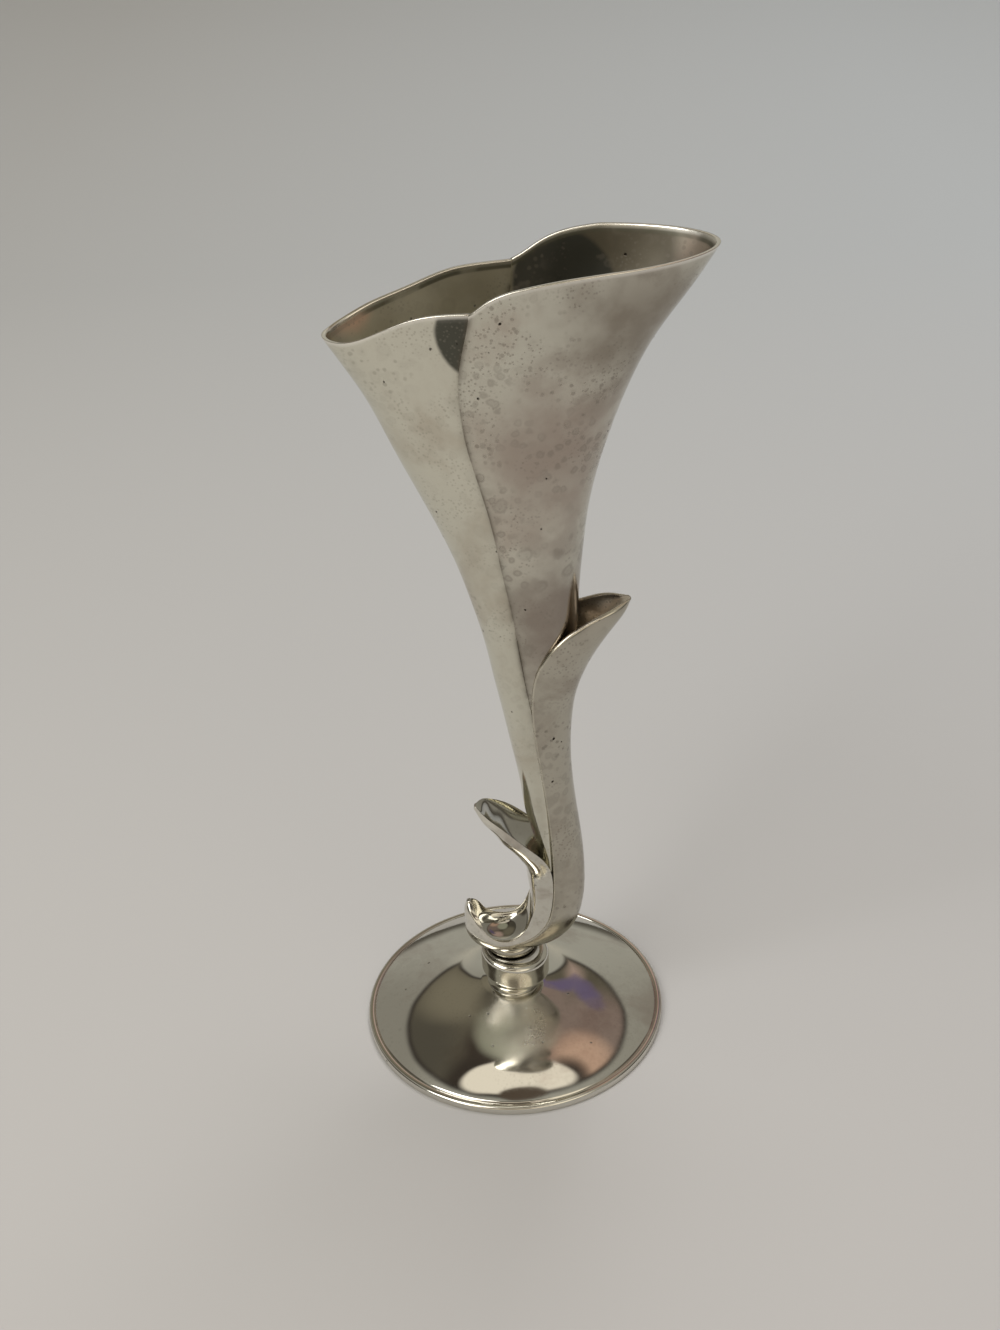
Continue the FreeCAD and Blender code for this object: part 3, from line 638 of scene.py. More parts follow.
def petal_sheet(start_turn, end_turn, front_rim, back_rim, z_low, lapped, underlap,
                face_counts):
    """Points, faces and edge marks of one petal, from its seams up to its rim."""
    columns, rows = face_counts
    across = np.linspace(0, 1, columns + 1)
    up = np.linspace(0, 1, rows + 1)

    def turns(share, z, seam_inset=0.0):
        start, end = start_turn(z), end_turn(z)
        inset = seam_inset - underlap * lap_share(z)
        start = start + inset / turn_speed(start, z)
        end = end - inset / turn_speed(end, z)
        return start + share * (end - start)

    top = rim_heights(turns, across, front_rim, back_rim, z_low, lapped)

    def place(column, share_up, seam_inset, rim_inset, inset_share):
        z = z_low + share_up * (top[column] - rim_inset - z_low)
        turn = turns(across[column], z, seam_inset)
        return funnel_point(turn, z, inset_share, lapped)

    grid_column, grid_up = np.meshgrid(np.arange(columns + 1), up, indexing="ij")
    edge_column = np.concatenate([np.zeros(rows, int), np.arange(columns + 1),
                                  np.full(rows, columns)])
    edge_up = np.concatenate([up[:-1], np.ones(columns + 1), up[-2::-1]])
    rings = edge_rings()
    points = [place(grid_column, grid_up, SEAM_ROUNDING, RIM_ROUNDING, side)
              .reshape(-1, 3) for side in (0, 1)]
    points += [place(edge_column, edge_up, SEAM_ROUNDING * out, RIM_ROUNDING * out, down)
               for out, down in rings]

    z = z_low + grid_up * (top[grid_column] - z_low)
    span = (turns(1.0, z) - turns(0.0, z)) * turn_speed(turns(across[grid_column], z), z)
    from_seam = np.minimum(across[grid_column], 1 - across[grid_column]) * span
    seam_near = np.exp(-from_seam / SEAM_GRIME).reshape(-1)
    rim_near = np.exp(-(top[grid_column] - z) / RIM_SHINE).reshape(-1)
    on_rim = np.tile(edge_up == 1, len(rings))
    counts = [z.size, z.size, len(on_rim)]
    marks = {"seam_near": np.concatenate([seam_near, seam_near, ~on_rim]),
             "rim_near": np.concatenate([rim_near, rim_near, on_rim]),
             "inner_side": np.repeat([0.0, 1.0, 0.5], counts)}
    return np.concatenate(points), petal_faces(z.shape, len(rings)), marks


def make_petals():
    """The left petal between the back and the front seam, and the right one over it."""
    points, faces, marks = petal_sheet(
        lambda z: seam_turn(back_seam, z, 0),
        lambda z: 2 * math.pi - seam_turn(front_seam, z, 0),
        rim_line(LEFT_REACH, FRONT_RIM_SHARES, LEFT_TIP_SHARES),
        rim_line(LEFT_REACH, BACK_RIM_SHARES, LEFT_TIP_SHARES),
        float(height(LEFT_LOW_LEVEL)), 0, PETAL_UNDERLAP, LEFT_FACES)
    add_piece("left_petal_sheet", points, faces, left_petal_silver, "left_petal",
              marks)
    points, faces, marks = petal_sheet(
        lambda z: -seam_turn(front_seam, z, 1),
        lambda z: seam_turn(back_seam, z, 1),
        rim_line(RIGHT_REACH, FRONT_CORNER_SHARES, RIM_END_SHARES),
        rim_line(RIGHT_REACH, BACK_CORNER_SHARES, RIM_END_SHARES),
        float(height(RIGHT_LOW_LEVEL)), 1, 0.0, RIGHT_FACES)
    add_piece("right_petal_sheet", points, faces, right_petal_silver, "right_petal",
              marks)


make_petals()


# Stem with its leaf, and the scroll

# From under the scroll, round the elbow and up to the leaf's tip: chord point and
# belly point of the side view, half depth.
STEM_SHARES = (
    (-0.40, 0.033, -0.42, 0.008, 0.58),
    (-0.20, 0.044, -0.22, 0.004, 0.77),
    (0.02, 0.050, 0.06, 0.003, 0.87),
    (0.38, 0.071, 0.64, 0.015, 0.94),
    (0.64, 0.114, 1.13, 0.061, 0.97),
    (0.75, 0.164, 1.34, 0.138, 0.98),
    (0.79, 0.236, 1.39, 0.232, 1.00),
    (0.79, 0.307, 1.37, 0.307, 1.00),
    (0.72, 0.469, 1.25, 0.469, 1.00),
    (0.62, 0.598, 1.20, 0.603, 1.02),
    (0.54, 0.717, 1.25, 0.706, 1.10),
    (0.57, 0.824, 1.36, 0.779, 1.23),
    (0.75, 0.891, 1.53, 0.836, 1.29),
    (1.15, 0.948, 1.74, 0.886, 1.16),
    (1.46, 0.968, 1.91, 0.919, 0.95),
    (1.75, 0.983, 2.07, 0.949, 0.79),
    (2.04, 0.993, 2.20, 0.977, 0.48),
    (2.20, 0.997, 2.25, 0.993, 0.19),
)
# From the tip of the upper leaf down and round to the tip of the cup: outer and inner
# edge of the side view, then half depth and bulge at each edge.
SCROLL_SHARES = (
    (-0.51, 0.443, -0.53, 0.434, 0.13, 0.13, 0.00, 0.02),
    (-0.42, 0.439, -0.45, 0.428, 0.42, 0.42, -0.02, 0.07),
    (-0.29, 0.429, -0.33, 0.419, 0.65, 0.65, -0.08, 0.15),
    (-0.10, 0.413, -0.14, 0.404, 0.84, 0.84, -0.16, 0.22),
    (0.11, 0.391, 0.06, 0.383, 0.98, 0.98, -0.22, 0.31),
    (0.35, 0.361, 0.29, 0.354, 1.06, 1.05, -0.22, 0.34),
    (0.58, 0.329, 0.48, 0.319, 1.06, 1.03, -0.12, 0.34),
    (0.74, 0.289, 0.61, 0.281, 1.02, 0.95, -0.02, 0.33),
    (0.79, 0.237, 0.58, 0.232, 1.00, 0.86, 0.00, 0.24),
    (0.75, 0.166, 0.49, 0.169, 0.98, 0.84, 0.00, 0.10),
    (0.64, 0.114, 0.37, 0.126, 0.97, 0.84, 0.02, -0.05),
    (0.39, 0.073, 0.24, 0.087, 0.95, 0.84, 0.07, -0.17),
    (0.05, 0.050, 0.01, 0.061, 0.90, 0.84, 0.23, -0.18),
    (-0.29, 0.050, -0.26, 0.062, 0.89, 0.84, 0.33, -0.21),
    (-0.53, 0.077, -0.46, 0.084, 0.77, 0.73, 0.34, -0.26),
    (-0.64, 0.113, -0.57, 0.117, 0.58, 0.53, 0.22, -0.16),
    (-0.71, 0.134, -0.65, 0.136, 0.37, 0.32, 0.13, -0.08),
    (-0.76, 0.148, -0.71, 0.150, 0.13, 0.11, 0.04, -0.01),
)
STEM_ROWS = 260
SCROLL_ROWS = 280
BOW_POINTS = 52
LIP_POINTS = 7
SCROLL_EDGE_POINTS = 9
SCROLL_BOW_POINTS = 40
WALL_LIMIT_SHARE = 0.45
EDGE_ROUNDING = 0.35 * MM
EDGE_LIMIT_SHARE = 0.4
TIP_ROUNDING = 0.4 * MM
TIP_ROWS = 6
TIP_END_SHARE = 0.04
CORNER_POINTS = 5
PAD_RADIUS = 5.9 * MM
PAD_HEIGHT = 3.0 * MM
PAD_ROUNDING = 1.3 * MM
PAD_FACE_SHARE = 0.6
PAD_FACETS = 128
SPIGOT_RADIUS = 3.6 * MM
SPIGOT_END = 9.3 * MM
SPIGOT_FACETS = 64
QUARTER_POINTS = 9


def strip_rows(table, row_count):
    """Smooth rows along a strip: two side-view points each, then its other sizes."""
    table = np.asarray(table, float)
    points = np.stack([table[:, 0] * STEM_WIDTH, height(table[:, 1]),
                       table[:, 2] * STEM_WIDTH, height(table[:, 3])], axis=1)
    middle = (points[:, :2] + points[:, 2:]) / 2
    steps = np.linalg.norm(np.diff(middle, axis=0), axis=1)
    way = np.concatenate([[0], np.cumsum(steps)])
    rows = smooth_through(way, np.concatenate([points, table[:, 4:]], axis=1))(
        np.linspace(0, way[-1], row_count))
    return rows[:, 0:2], rows[:, 2:4], rows[:, 4:]


def lifted(side, depth):
    """Points of space from side-view points and their depths."""
    return np.stack([side[..., 0], depth + 0 * side[..., 0], side[..., 1]], axis=-1)


def bow(edge, way, bulge, depth, turn):
    """Points of a bow on each row: its bulge lies along the way, its depth across."""
    side = edge[:, None] + way[:, None] * (bulge[:, None] * np.sin(turn))[..., None]
    return lifted(side, -depth[:, None] * np.cos(turn))


def tube_faces(loops, start=0):
    """Skin over loops of points, closed by a fan at each end."""
    rows, around = loops.shape[:2]
    index = start + np.arange(rows * around).reshape(rows, around)
    faces = grid_quads(np.concatenate([index, index[:, :1]], axis=1)).tolist()
    ends = np.stack([loops[0].mean(axis=0), loops[-1].mean(axis=0)])
    for centre, ring in enumerate(index[[0, -1]].tolist(), start + index.size):
        faces += [[a, b, centre] for a, b in zip(ring, ring[1:] + ring[:1])]
    return np.concatenate([loops.reshape(-1, 3), ends]), faces


def rounded_tip(loops):
    """More loops past the last one, which shrink to round the strip's tip off."""
    centre = loops[-1].mean(axis=0)
    ahead = centre - loops[-2].mean(axis=0)
    ahead /= np.linalg.norm(ahead)
    added = []
    for k in range(1, TIP_ROWS + 1):
        angle = math.pi / 2 * k / TIP_ROWS
        added.append(centre + (loops[-1] - centre) * max(TIP_END_SHARE, math.cos(angle))
                     + ahead * TIP_ROUNDING * math.sin(angle))
    return np.concatenate([loops, added])


def leaf_loops(row_count):
    """Loops of the stem: an outer bow, an inner bow a wall inside it, round edges."""
    chord, belly, rest = strip_rows(STEM_SHARES, row_count)
    depth = HALF_STEM * rest[:, 0]
    bulge = np.linalg.norm(belly - chord, axis=1)
    way = (belly - chord) / bulge[:, None]
    wall = np.minimum(LEAF_WALL, WALL_LIMIT_SHARE * np.minimum(bulge, depth))
    half = wall / 2

    def shell(inset):
        first = np.arcsin(half / (bulge - inset))[:, None]
        turn = first + (math.pi - 2 * first) * np.linspace(0, 1, BOW_POINTS)
        return bow(chord, way, bulge - inset, depth - inset, turn)

    def lip(start, end):
        turn = np.linspace(0, math.pi, LIP_POINTS + 2)[1:-1]
        rise = (way * half[:, None])[:, None]
        side = chord[:, None] + rise - rise * np.sin(turn)[:, None]
        middle = (start[:, 1:2] + end[:, 1:2]) / 2
        reach = (start[:, 1:2] - end[:, 1:2]) / 2
        return lifted(side, middle + reach * np.cos(turn))

    outer, inner = shell(0), shell(wall)[:, ::-1]
    return np.concatenate([outer, lip(outer[:, -1], inner[:, 0]), inner,
                           lip(inner[:, -1], outer[:, 0])], axis=1)


def turned_loops(outline, facets):
    """Loops of a lathe-turned solid from an outline of radii and heights."""
    turns = 2 * math.pi * np.arange(facets) / facets
    radius, z = np.asarray(outline)[..., None].swapaxes(0, 1)
    return np.stack([radius * np.cos(turns), radius * np.sin(turns), z + 0 * turns],
                    axis=-1)


def quarter(centre, radius, first, last, steps):
    """Points of an arc in the side view, between two angles in degrees."""
    angles = np.radians(np.linspace(first, last, steps))
    return [(centre[0] + radius * math.cos(a), centre[1] + radius * math.sin(a))
            for a in angles]


def make_stem():
    """The stem with its leaf, its pad on the collar and the spigot below it."""
    loops = rounded_tip(leaf_loops(STEM_ROWS))
    points, faces = tube_faces(loops)
    inner_side = np.tile(np.repeat([0.0, 0.5, 1.0, 0.5],
                                   [BOW_POINTS, LIP_POINTS, BOW_POINTS, LIP_POINTS]),
                         len(loops))
    inner = PAD_RADIUS - PAD_ROUNDING
    pad = [(PAD_FACE_SHARE * inner, SEAT)]
    pad += quarter((inner, SEAT + PAD_ROUNDING), PAD_ROUNDING, -90, 0, QUARTER_POINTS)
    pad += quarter((inner, SEAT + PAD_HEIGHT - PAD_ROUNDING), PAD_ROUNDING, 0, 90,
                   QUARTER_POINTS)
    pad += [(PAD_FACE_SHARE * inner, SEAT + PAD_HEIGHT)]
    spigot = [(SPIGOT_RADIUS, SPIGOT_END), (SPIGOT_RADIUS, SEAT + PAD_ROUNDING)]
    for outline, facets in ((pad, PAD_FACETS), (spigot, SPIGOT_FACETS)):
        more, more_faces = tube_faces(turned_loops(outline, facets), len(points))
        points = np.concatenate([points, more])
        faces += more_faces
    marks = {"inner_side": np.pad(inner_side, (0, len(points) - len(inner_side)))}
    add_piece("stem_and_leaf", points, faces, stem_silver, "stem_casting",
              marks)


def scroll_loops(row_count):
    """Loops of the scroll: two straight edges and two bows, with rounded corners."""
    outer, inner, rest = strip_rows(SCROLL_SHARES, row_count)
    outer_depth, inner_depth = HALF_STEM * rest[:, 0], HALF_STEM * rest[:, 1]
    outer_bulge, inner_bulge = STEM_WIDTH * rest[:, 2], STEM_WIDTH * rest[:, 3]
    way = inner - outer
    way /= np.linalg.norm(way, axis=1)[:, None]

    def bow_length(depth, bulge):
        return math.pi * np.sqrt((depth ** 2 + bulge ** 2) / 2)

    def straight(start, end, share):
        return start + (end - start) * share[..., None]

    corners = [lifted(edge, depth)[:, None] for edge, depth in (
        (outer, -outer_depth), (inner, -inner_depth),
        (inner, inner_depth), (outer, outer_depth))]
    edge_length = np.linalg.norm(corners[1] - corners[0], axis=-1)[:, 0]
    runs = [
        (SCROLL_EDGE_POINTS, edge_length, lambda s: straight(corners[0], corners[1], s)),
        (SCROLL_BOW_POINTS, bow_length(inner_depth, inner_bulge),
         lambda s: bow(inner, way, inner_bulge, inner_depth, math.pi * s)),
        (SCROLL_EDGE_POINTS, edge_length, lambda s: straight(corners[2], corners[3], s)),
        (SCROLL_BOW_POINTS, bow_length(outer_depth, outer_bulge),
         lambda s: bow(outer, way, -outer_bulge, outer_depth, math.pi * (1 - s))),
    ]
    cuts = [np.minimum(EDGE_ROUNDING / length, EDGE_LIMIT_SHARE)[:, None]
            for _, length, _ in runs]
    loop = []
    for k, (steps, _, run) in enumerate(runs):
        after = (k + 1) % len(runs)
        loop.append(run(cuts[k] + (1 - 2 * cuts[k]) * np.linspace(0, 1, steps)))
        start = run(1 - cuts[k])
        end = runs[after][2](cuts[after])
        share = np.linspace(0, 1, CORNER_POINTS + 2)[1:-1][:, None]
        loop.append((1 - share) ** 2 * start + 2 * share * (1 - share) * corners[after]
                    + share ** 2 * end)
    return np.concatenate(loop, axis=1)


def make_scroll():
    """The curled strip, rounded off at both tips."""
    loops = rounded_tip(scroll_loops(SCROLL_ROWS))
    points, faces = tube_faces(rounded_tip(loops[::-1]))
    add_piece("curled_scroll", points, faces, scroll_silver, "scroll_leaf")


make_stem()
make_scroll()


# Collar and foot, spun from their outlines by a node group

SPIN_INPUTS = {"Outline": "Geometry", "Facets": "Int", "Bead Middle": "Float",
               "Bead Half": "Float", "Bead Slope": "Float", "Bead Shift": "Float",
               "Finish": "Material"}
# The bead's lean ends between these shares of its half height.
BEAD_END_SHARES = (0.95, 1.1)
CLOSE_GAP = 0.002 * MM


def spin_tree():
    """Node group that turns an outline about Z and leans a bead on it over to +X."""
    group = bpy.data.node_groups.new("Spun from an outline", "GeometryNodeTree")
    for label, kind in SPIN_INPUTS.items():
        group.interface.new_socket(label, in_out="INPUT", socket_type="NodeSocket" + kind)
    group.interface.new_socket("Spun", in_out="OUTPUT", socket_type="NodeSocketGeometry")
    tree = Nodes(group)
    given = tree.add("NodeGroupInput").outputs

    # One point of a grid for each point of the outline and each facet.
    across = tree.maths("ADD", given["Facets"], 1)
    size = tree.add("GeometryNodeAttributeDomainSize", {"Geometry": given["Outline"]})
    grid = tree.add("GeometryNodeMeshGrid", {"Vertices X": size.outputs["Point Count"],
                                             "Vertices Y": across})
    number = tree.add("GeometryNodeInputIndex").outputs[0]
    row = tree.maths("FLOOR", tree.maths("DIVIDE", tree.maths("ADD", number, 0.5), across))
    column = tree.maths("SUBTRACT", number, tree.maths("MULTIPLY", row, across))
    turn = tree.maths("DIVIDE", tree.maths("MULTIPLY", column, 2 * math.pi),
                      given["Facets"])
    sample = tree.add("GeometryNodeSampleIndex", {
        "Geometry": given["Outline"], "Index": row,
        "Value": tree.add("GeometryNodeInputPosition").outputs[0]},
        data_type="FLOAT_VECTOR")
    radius, _, z = tree.add("ShaderNodeSeparateXYZ", {0: sample.outputs[0]}).outputs
    x = tree.maths("MULTIPLY", radius, tree.maths("COSINE", turn))
    y = tree.maths("MULTIPLY", radius, tree.maths("SINE", turn))

    away = tree.maths("ABSOLUTE", tree.maths("SUBTRACT", z, given["Bead Middle"]))
    ends = [tree.maths("MULTIPLY", given["Bead Half"], share) for share in BEAD_END_SHARES]
    on_bead = tree.band(away, *ends, 1, 0)
    drop = tree.maths("MULTIPLY", tree.maths("MULTIPLY", x, given["Bead Slope"]), on_bead)
    aside = tree.maths("MULTIPLY", given["Bead Shift"], on_bead)
    spot = tree.add("ShaderNodeCombineXYZ", {"X": tree.maths("ADD", x, aside), "Y": y,
                                             "Z": tree.maths("SUBTRACT", z, drop)})
    spun = tree.add("GeometryNodeSetPosition", {"Geometry": grid.outputs["Mesh"],
                                                "Position": spot.outputs[0]})
    for kind, values in (
            ("GeometryNodeMergeByDistance", {"Distance": CLOSE_GAP}),
            ("GeometryNodeSetShadeSmooth", {}),
            ("GeometryNodeRealizeInstances", {}),
            ("GeometryNodeSetMaterial", {"Material": given["Finish"]}),
            ("NodeGroupOutput", {})):
        spun = tree.add(kind, {0: spun.outputs[0], **values})
    return group


SPIN = spin_tree()


def spin(name, outline, facets, material, node, bead=(0.0, 1.0, 0.0, 0.0)):
    """A piece turned from a closed outline of radii and heights."""
    corners = [(radius, 0.0, z) for radius, z in outline + outline[:1]]
    line = bpy.data.meshes.new(name + "_outline")
    line.from_pydata(corners, [(k, k + 1) for k in range(len(corners) - 1)], [])
    host = bpy.data.objects.new(name + "_outline", line)
    bpy.context.scene.collection.objects.link(host)
    spun = host.modifiers.new("spun", "NODES")
    spun.node_group = SPIN
    given = dict(zip(("Bead Middle", "Bead Half", "Bead Slope", "Bead Shift"), bead),
                 Facets=facets, Finish=material)
    for socket in SPIN.interface.items_tree:
        if socket.name in given:
            spun[socket.identifier] = given[socket.name]
    whole = host.evaluated_get(bpy.context.evaluated_depsgraph_get())
    mesh = bpy.data.meshes.new_from_object(whole)
    mesh.name = name
    bpy.data.objects.remove(host)
    bpy.data.meshes.remove(line)
    dress(name, mesh, material, node)


def arc_through(start, through, end, steps):
    """Points of the arc from start to end that passes a third point."""
    (ax, az), (bx, bz), (cx, cz) = start, through, end
    twice = 2 * (ax * (bz - cz) + bx * (cz - az) + cx * (az - bz))
    a, b, c = ax * ax + az * az, bx * bx + bz * bz, cx * cx + cz * cz
    x = (a * (bz - cz) + b * (cz - az) + c * (az - bz)) / twice
    z = (a * (cx - bx) + b * (ax - cx) + c * (bx - ax)) / twice
    radius = math.hypot(ax - x, az - z)
    first, last = math.atan2(az - z, ax - x), math.atan2(cz - z, cx - x)
    turns = np.linspace(first, last, steps)
    return [(x + radius * math.cos(t), z + radius * math.sin(t)) for t in turns]


# Outline of the foot, and of the collar with its bead.
DOME_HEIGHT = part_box("foot_shell")[1].z
CROWN_RADIUS = 7.4 * MM
MID_RADIUS = 21.0 * MM
MID_HEIGHT = 6.6 * MM
FOOT_WALL = 0.9 * MM
RIM_TOP = 1.95 * MM
RIM_SIDE = 1.3 * MM
GROOVE_RADIUS = 33.46 * MM
GROOVE_DEPTH = 0.45 * MM
GROOVE_HALF = 0.2 * MM
GROOVE_RISE = 0.08 * MM
GROOVE_SHARES = ((-0.4, 0.8), (0, 1), (0.4, 0.8))
HEM_ROUNDING = 0.2 * MM
HOLE_RADIUS = 2.25 * MM
FELT_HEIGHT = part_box("base_felt")[1].z
NECK_RADIUS = 6.05 * MM
BORE_RADIUS = 3.7 * MM
BEAD_RADIUS = 7.9 * MM
BEAD_ROUNDING = 1.2 * MM
BEAD_MIDDLE = 15.2 * MM
BEAD_HALF = 3.3 * MM
BEAD_SHIFT = 0.6 * MM
BEAD_LEAN = 6.0
FLANGE_RADIUS = 6.2 * MM
FLANGE_HEIGHT = 1.2 * MM
TURNED_ROUNDING = 0.25 * MM
DOME_POINTS = 70
INSIDE_POINTS = 30
FOOT_FACETS = 256
COLLAR_FACETS = 160


def foot_outline():
    """From the hole over the dome, the groove and the rim, and back along the inside."""
    groove_top = RIM_TOP + GROOVE_RISE
    outline = [(HOLE_RADIUS, DOME_HEIGHT), (CROWN_RADIUS - 1 * MM, DOME_HEIGHT)]
    outline += arc_through((CROWN_RADIUS, DOME_HEIGHT), (MID_RADIUS, MID_HEIGHT),
                           (GROOVE_RADIUS - GROOVE_HALF, groove_top), DOME_POINTS)
    outline += [(GROOVE_RADIUS + side * GROOVE_HALF, groove_top - down * GROOVE_DEPTH)
                for side, down in GROOVE_SHARES]
    outline += arc_through((GROOVE_RADIUS + GROOVE_HALF, RIM_TOP - 0.05 * MM),
                           (GROOVE_RADIUS + 0.6 * MM, RIM_TOP),
                           (FOOT_RADIUS - 0.55 * MM, RIM_TOP - 0.04 * MM), 8)
    outline += arc_through((FOOT_RADIUS - 0.4 * MM, RIM_TOP - 0.1 * MM),
                           (FOOT_RADIUS - 0.1 * MM, RIM_SIDE + 0.25 * MM),
                           (FOOT_RADIUS, RIM_SIDE - 0.1 * MM), 9)
    outline += [(FOOT_RADIUS, 0.6 * RIM_SIDE)]
    outline += quarter((FOOT_RADIUS - HEM_ROUNDING, HEM_ROUNDING), HEM_ROUNDING,
                       0, -90, 5)
    inside = FOOT_RADIUS - FOOT_WALL
    outline += [(inside, 0), (inside, FELT_HEIGHT)]
    outline += arc_through((inside - 1.1 * MM, RIM_TOP - FOOT_WALL),
                           (MID_RADIUS, MID_HEIGHT - FOOT_WALL),
                           (CROWN_RADIUS, DOME_HEIGHT - FOOT_WALL), INSIDE_POINTS)
    return outline + [(HOLE_RADIUS, DOME_HEIGHT - FOOT_WALL)]


def collar_outline():
    """Down the bore, then up over the neck, the bead and the flange to the seat."""
    ring, face = BEAD_RADIUS - BEAD_ROUNDING, BEAD_HALF - BEAD_ROUNDING
    meets = math.degrees(math.acos((NECK_RADIUS - ring) / BEAD_ROUNDING))
    r = TURNED_ROUNDING
    flange = SEAT - FLANGE_HEIGHT
    outline = [(BORE_RADIUS, SEAT), (BORE_RADIUS, DOME_HEIGHT),
               (NECK_RADIUS + 0.5 * r, DOME_HEIGHT),
               (NECK_RADIUS + 0.15 * r, DOME_HEIGHT + 0.3 * r),
               (NECK_RADIUS, DOME_HEIGHT + r)]
    outline += quarter((ring, BEAD_MIDDLE - face), BEAD_ROUNDING, -meets, 0, 16)
    outline += quarter((ring, BEAD_MIDDLE + face), BEAD_ROUNDING, 0, meets, 16)
    outline += quarter((FLANGE_RADIUS - r, flange + r), r, -90, 0, 5)
    outline += quarter((FLANGE_RADIUS - r, SEAT - r), r, 0, 90, 5)
    return outline


spin("spun_foot", foot_outline(), FOOT_FACETS, foot_silver, "foot_shell")
spin("turned_collar", collar_outline(), COLLAR_FACETS, collar_silver, "collar",
     (BEAD_MIDDLE, BEAD_HALF, math.tan(math.radians(BEAD_LEAN)), BEAD_SHIFT))


# Pieces under and inside the foot keep their solids

# Finish, light and dark colour, metallic share, roughnesses, grain and bump depth.
NODE_FINISHES = {
    "throat_plug": ("dull_solder", (0.40, 0.40, 0.39), (0.22, 0.22, 0.21),
                    1.0, (0.35, 0.55), 900, 0.2 * MM),
    "foot_weight": ("rough_iron", (0.13, 0.125, 0.12), (0.05, 0.045, 0.04),
                    0.6, (0.55, 0.85), 700, 0.4 * MM),
    "clamp_washer": ("zinc_washer", (0.62, 0.63, 0.64), (0.42, 0.42, 0.42),
                     1.0, (0.25, 0.45), 1200, 0.05 * MM),
    "tie_screw": ("zinc_screw", (0.60, 0.60, 0.60), (0.36, 0.35, 0.33),
                  1.0, (0.22, 0.42), 1400, 0.05 * MM),
    "base_felt": ("green_baize", (0.055, 0.15, 0.085), (0.02, 0.07, 0.04),
                  0.0, (0.9, 1.0), 2600, 0.5 * MM),
}


def plain_finish(name, light, dark, metallic, roughness, grain, depth):
    """A finish of two mottled colours."""
    tree = Surface(name)
    mottle = tree.noise(grain, 6)
    tree.fill(tree.shader, {
        "Base Color": tree.blend(tree.band(mottle, 0.35, 0.65, way="LINEAR"), dark, light),
        "Metallic": metallic,
        "Roughness": tree.band(mottle, 0, 1, *roughness, way="LINEAR"),
        "Normal": tree.bump(mottle, depth)})
    return tree.material


for node_name, values in NODE_FINISHES.items():
    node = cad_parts[node_name]
    node.data.materials.clear()
    node.data.materials.append(plain_finish(*values))


# Camera, as the photograph was taken

IMAGE_SIZE = (1000, 1330)
FOCAL_PIXELS = 1800
CAMERA_DISTANCE = 12.55 * FOOT_RADIUS
CAMERA_ELEVATION = math.radians(43.54)
CAMERA_ROLL = math.radians(3.0)
SENSOR_WIDTH = 36
NEAR_CLIP = 0.01
FOOT_CENTRE_PIXEL = (497.4, 1005.4)


def make_camera():
    """Camera before the vase, panned and tilted so that the foot is off the middle."""
    place = Vector((0, -math.cos(CAMERA_ELEVATION), math.sin(CAMERA_ELEVATION)))
    right = Vector((1, 0, 0))
    aimed = Matrix((right, place.cross(right), -place))
    across = FOOT_CENTRE_PIXEL[0] - IMAGE_SIZE[0] / 2
    down = FOOT_CENTRE_PIXEL[1] - IMAGE_SIZE[1] / 2
    pan = math.atan2(across, FOCAL_PIXELS)
    tilt = math.atan2(down, math.hypot(FOCAL_PIXELS, across))
    view = (Matrix.Rotation(CAMERA_ROLL, 3, "Z") @ Matrix.Rotation(pan, 3, "Y")
            @ Matrix.Rotation(tilt, 3, "X") @ aimed)
    turn = Matrix((view[0], view[1], -view[2])).transposed()
    lens = bpy.data.cameras.new("camera")
    lens.sensor_width = SENSOR_WIDTH
    lens.lens = FOCAL_PIXELS * SENSOR_WIDTH / IMAGE_SIZE[1]
    lens.clip_start = NEAR_CLIP
    camera = bpy.data.objects.new("camera", lens)
    camera.matrix_world = turn.to_4x4()
    camera.location = place * CAMERA_DISTANCE
    bpy.context.scene.collection.objects.link(camera)
    bpy.context.scene.camera = camera


make_camera()


# Floor, lamps and surroundings

# Colours at the left and right of the floor's front, then of its back; the darker back is
# painted light falloff.
FLOOR_COLOURS_WITH_FALLOFF = (((0.54, 0.528, 0.518), (0.485, 0.475, 0.479)),
                 ((0.385, 0.388, 0.387), (0.43, 0.454, 0.48)))
FLOOR_SPAN = ((-0.25, 0.25), (-0.15, 0.50))
FLOOR_HALF = 3.0
# Place, aim, size, power, colour and whether the polish shows the lamp.
LAMPS = {
    "window": ((-0.9, -0.7, 1.3), (0, 0, 0.08), (0.9, 1.1), 11.5,
               (1.0, 0.985, 0.965), True),
    "ceiling": ((0.3, 0.6, 1.6), (0, 0, 0.05), (0.9, 0.9), 13.5,
                (1.0, 0.99, 0.98), False),
}


def make_floor():
    """Pale floor, tinted from left to right, darker towards the back as painted light
    falloff.
    """
    tree = Surface("pale_floor")
    split = tree.add("ShaderNodeSeparateXYZ", {0: tree.place}).outputs
    to_right, to_back = (tree.band(split[axis], *span, way="LINEAR")
                         for axis, span in zip("XY", FLOOR_SPAN))
    front, back = (tree.blend(to_right, *pair) for pair in FLOOR_COLOURS_WITH_FALLOFF)
    tree.fill(tree.shader, {"Base Color": tree.blend(to_back, front, back),
                            "Roughness": 0.8, "Specular IOR Level": 0.2})
    half = FLOOR_HALF
    mesh = bpy.data.meshes.new("floor")
    mesh.from_pydata([(-half, -half, 0), (half, -half, 0), (half, half, 0),
                      (-half, half, 0)], [], [(0, 1, 2, 3)])
    mesh.materials.append(tree.material)
    floor = bpy.data.objects.new("floor", mesh)
    bpy.context.scene.collection.objects.link(floor)


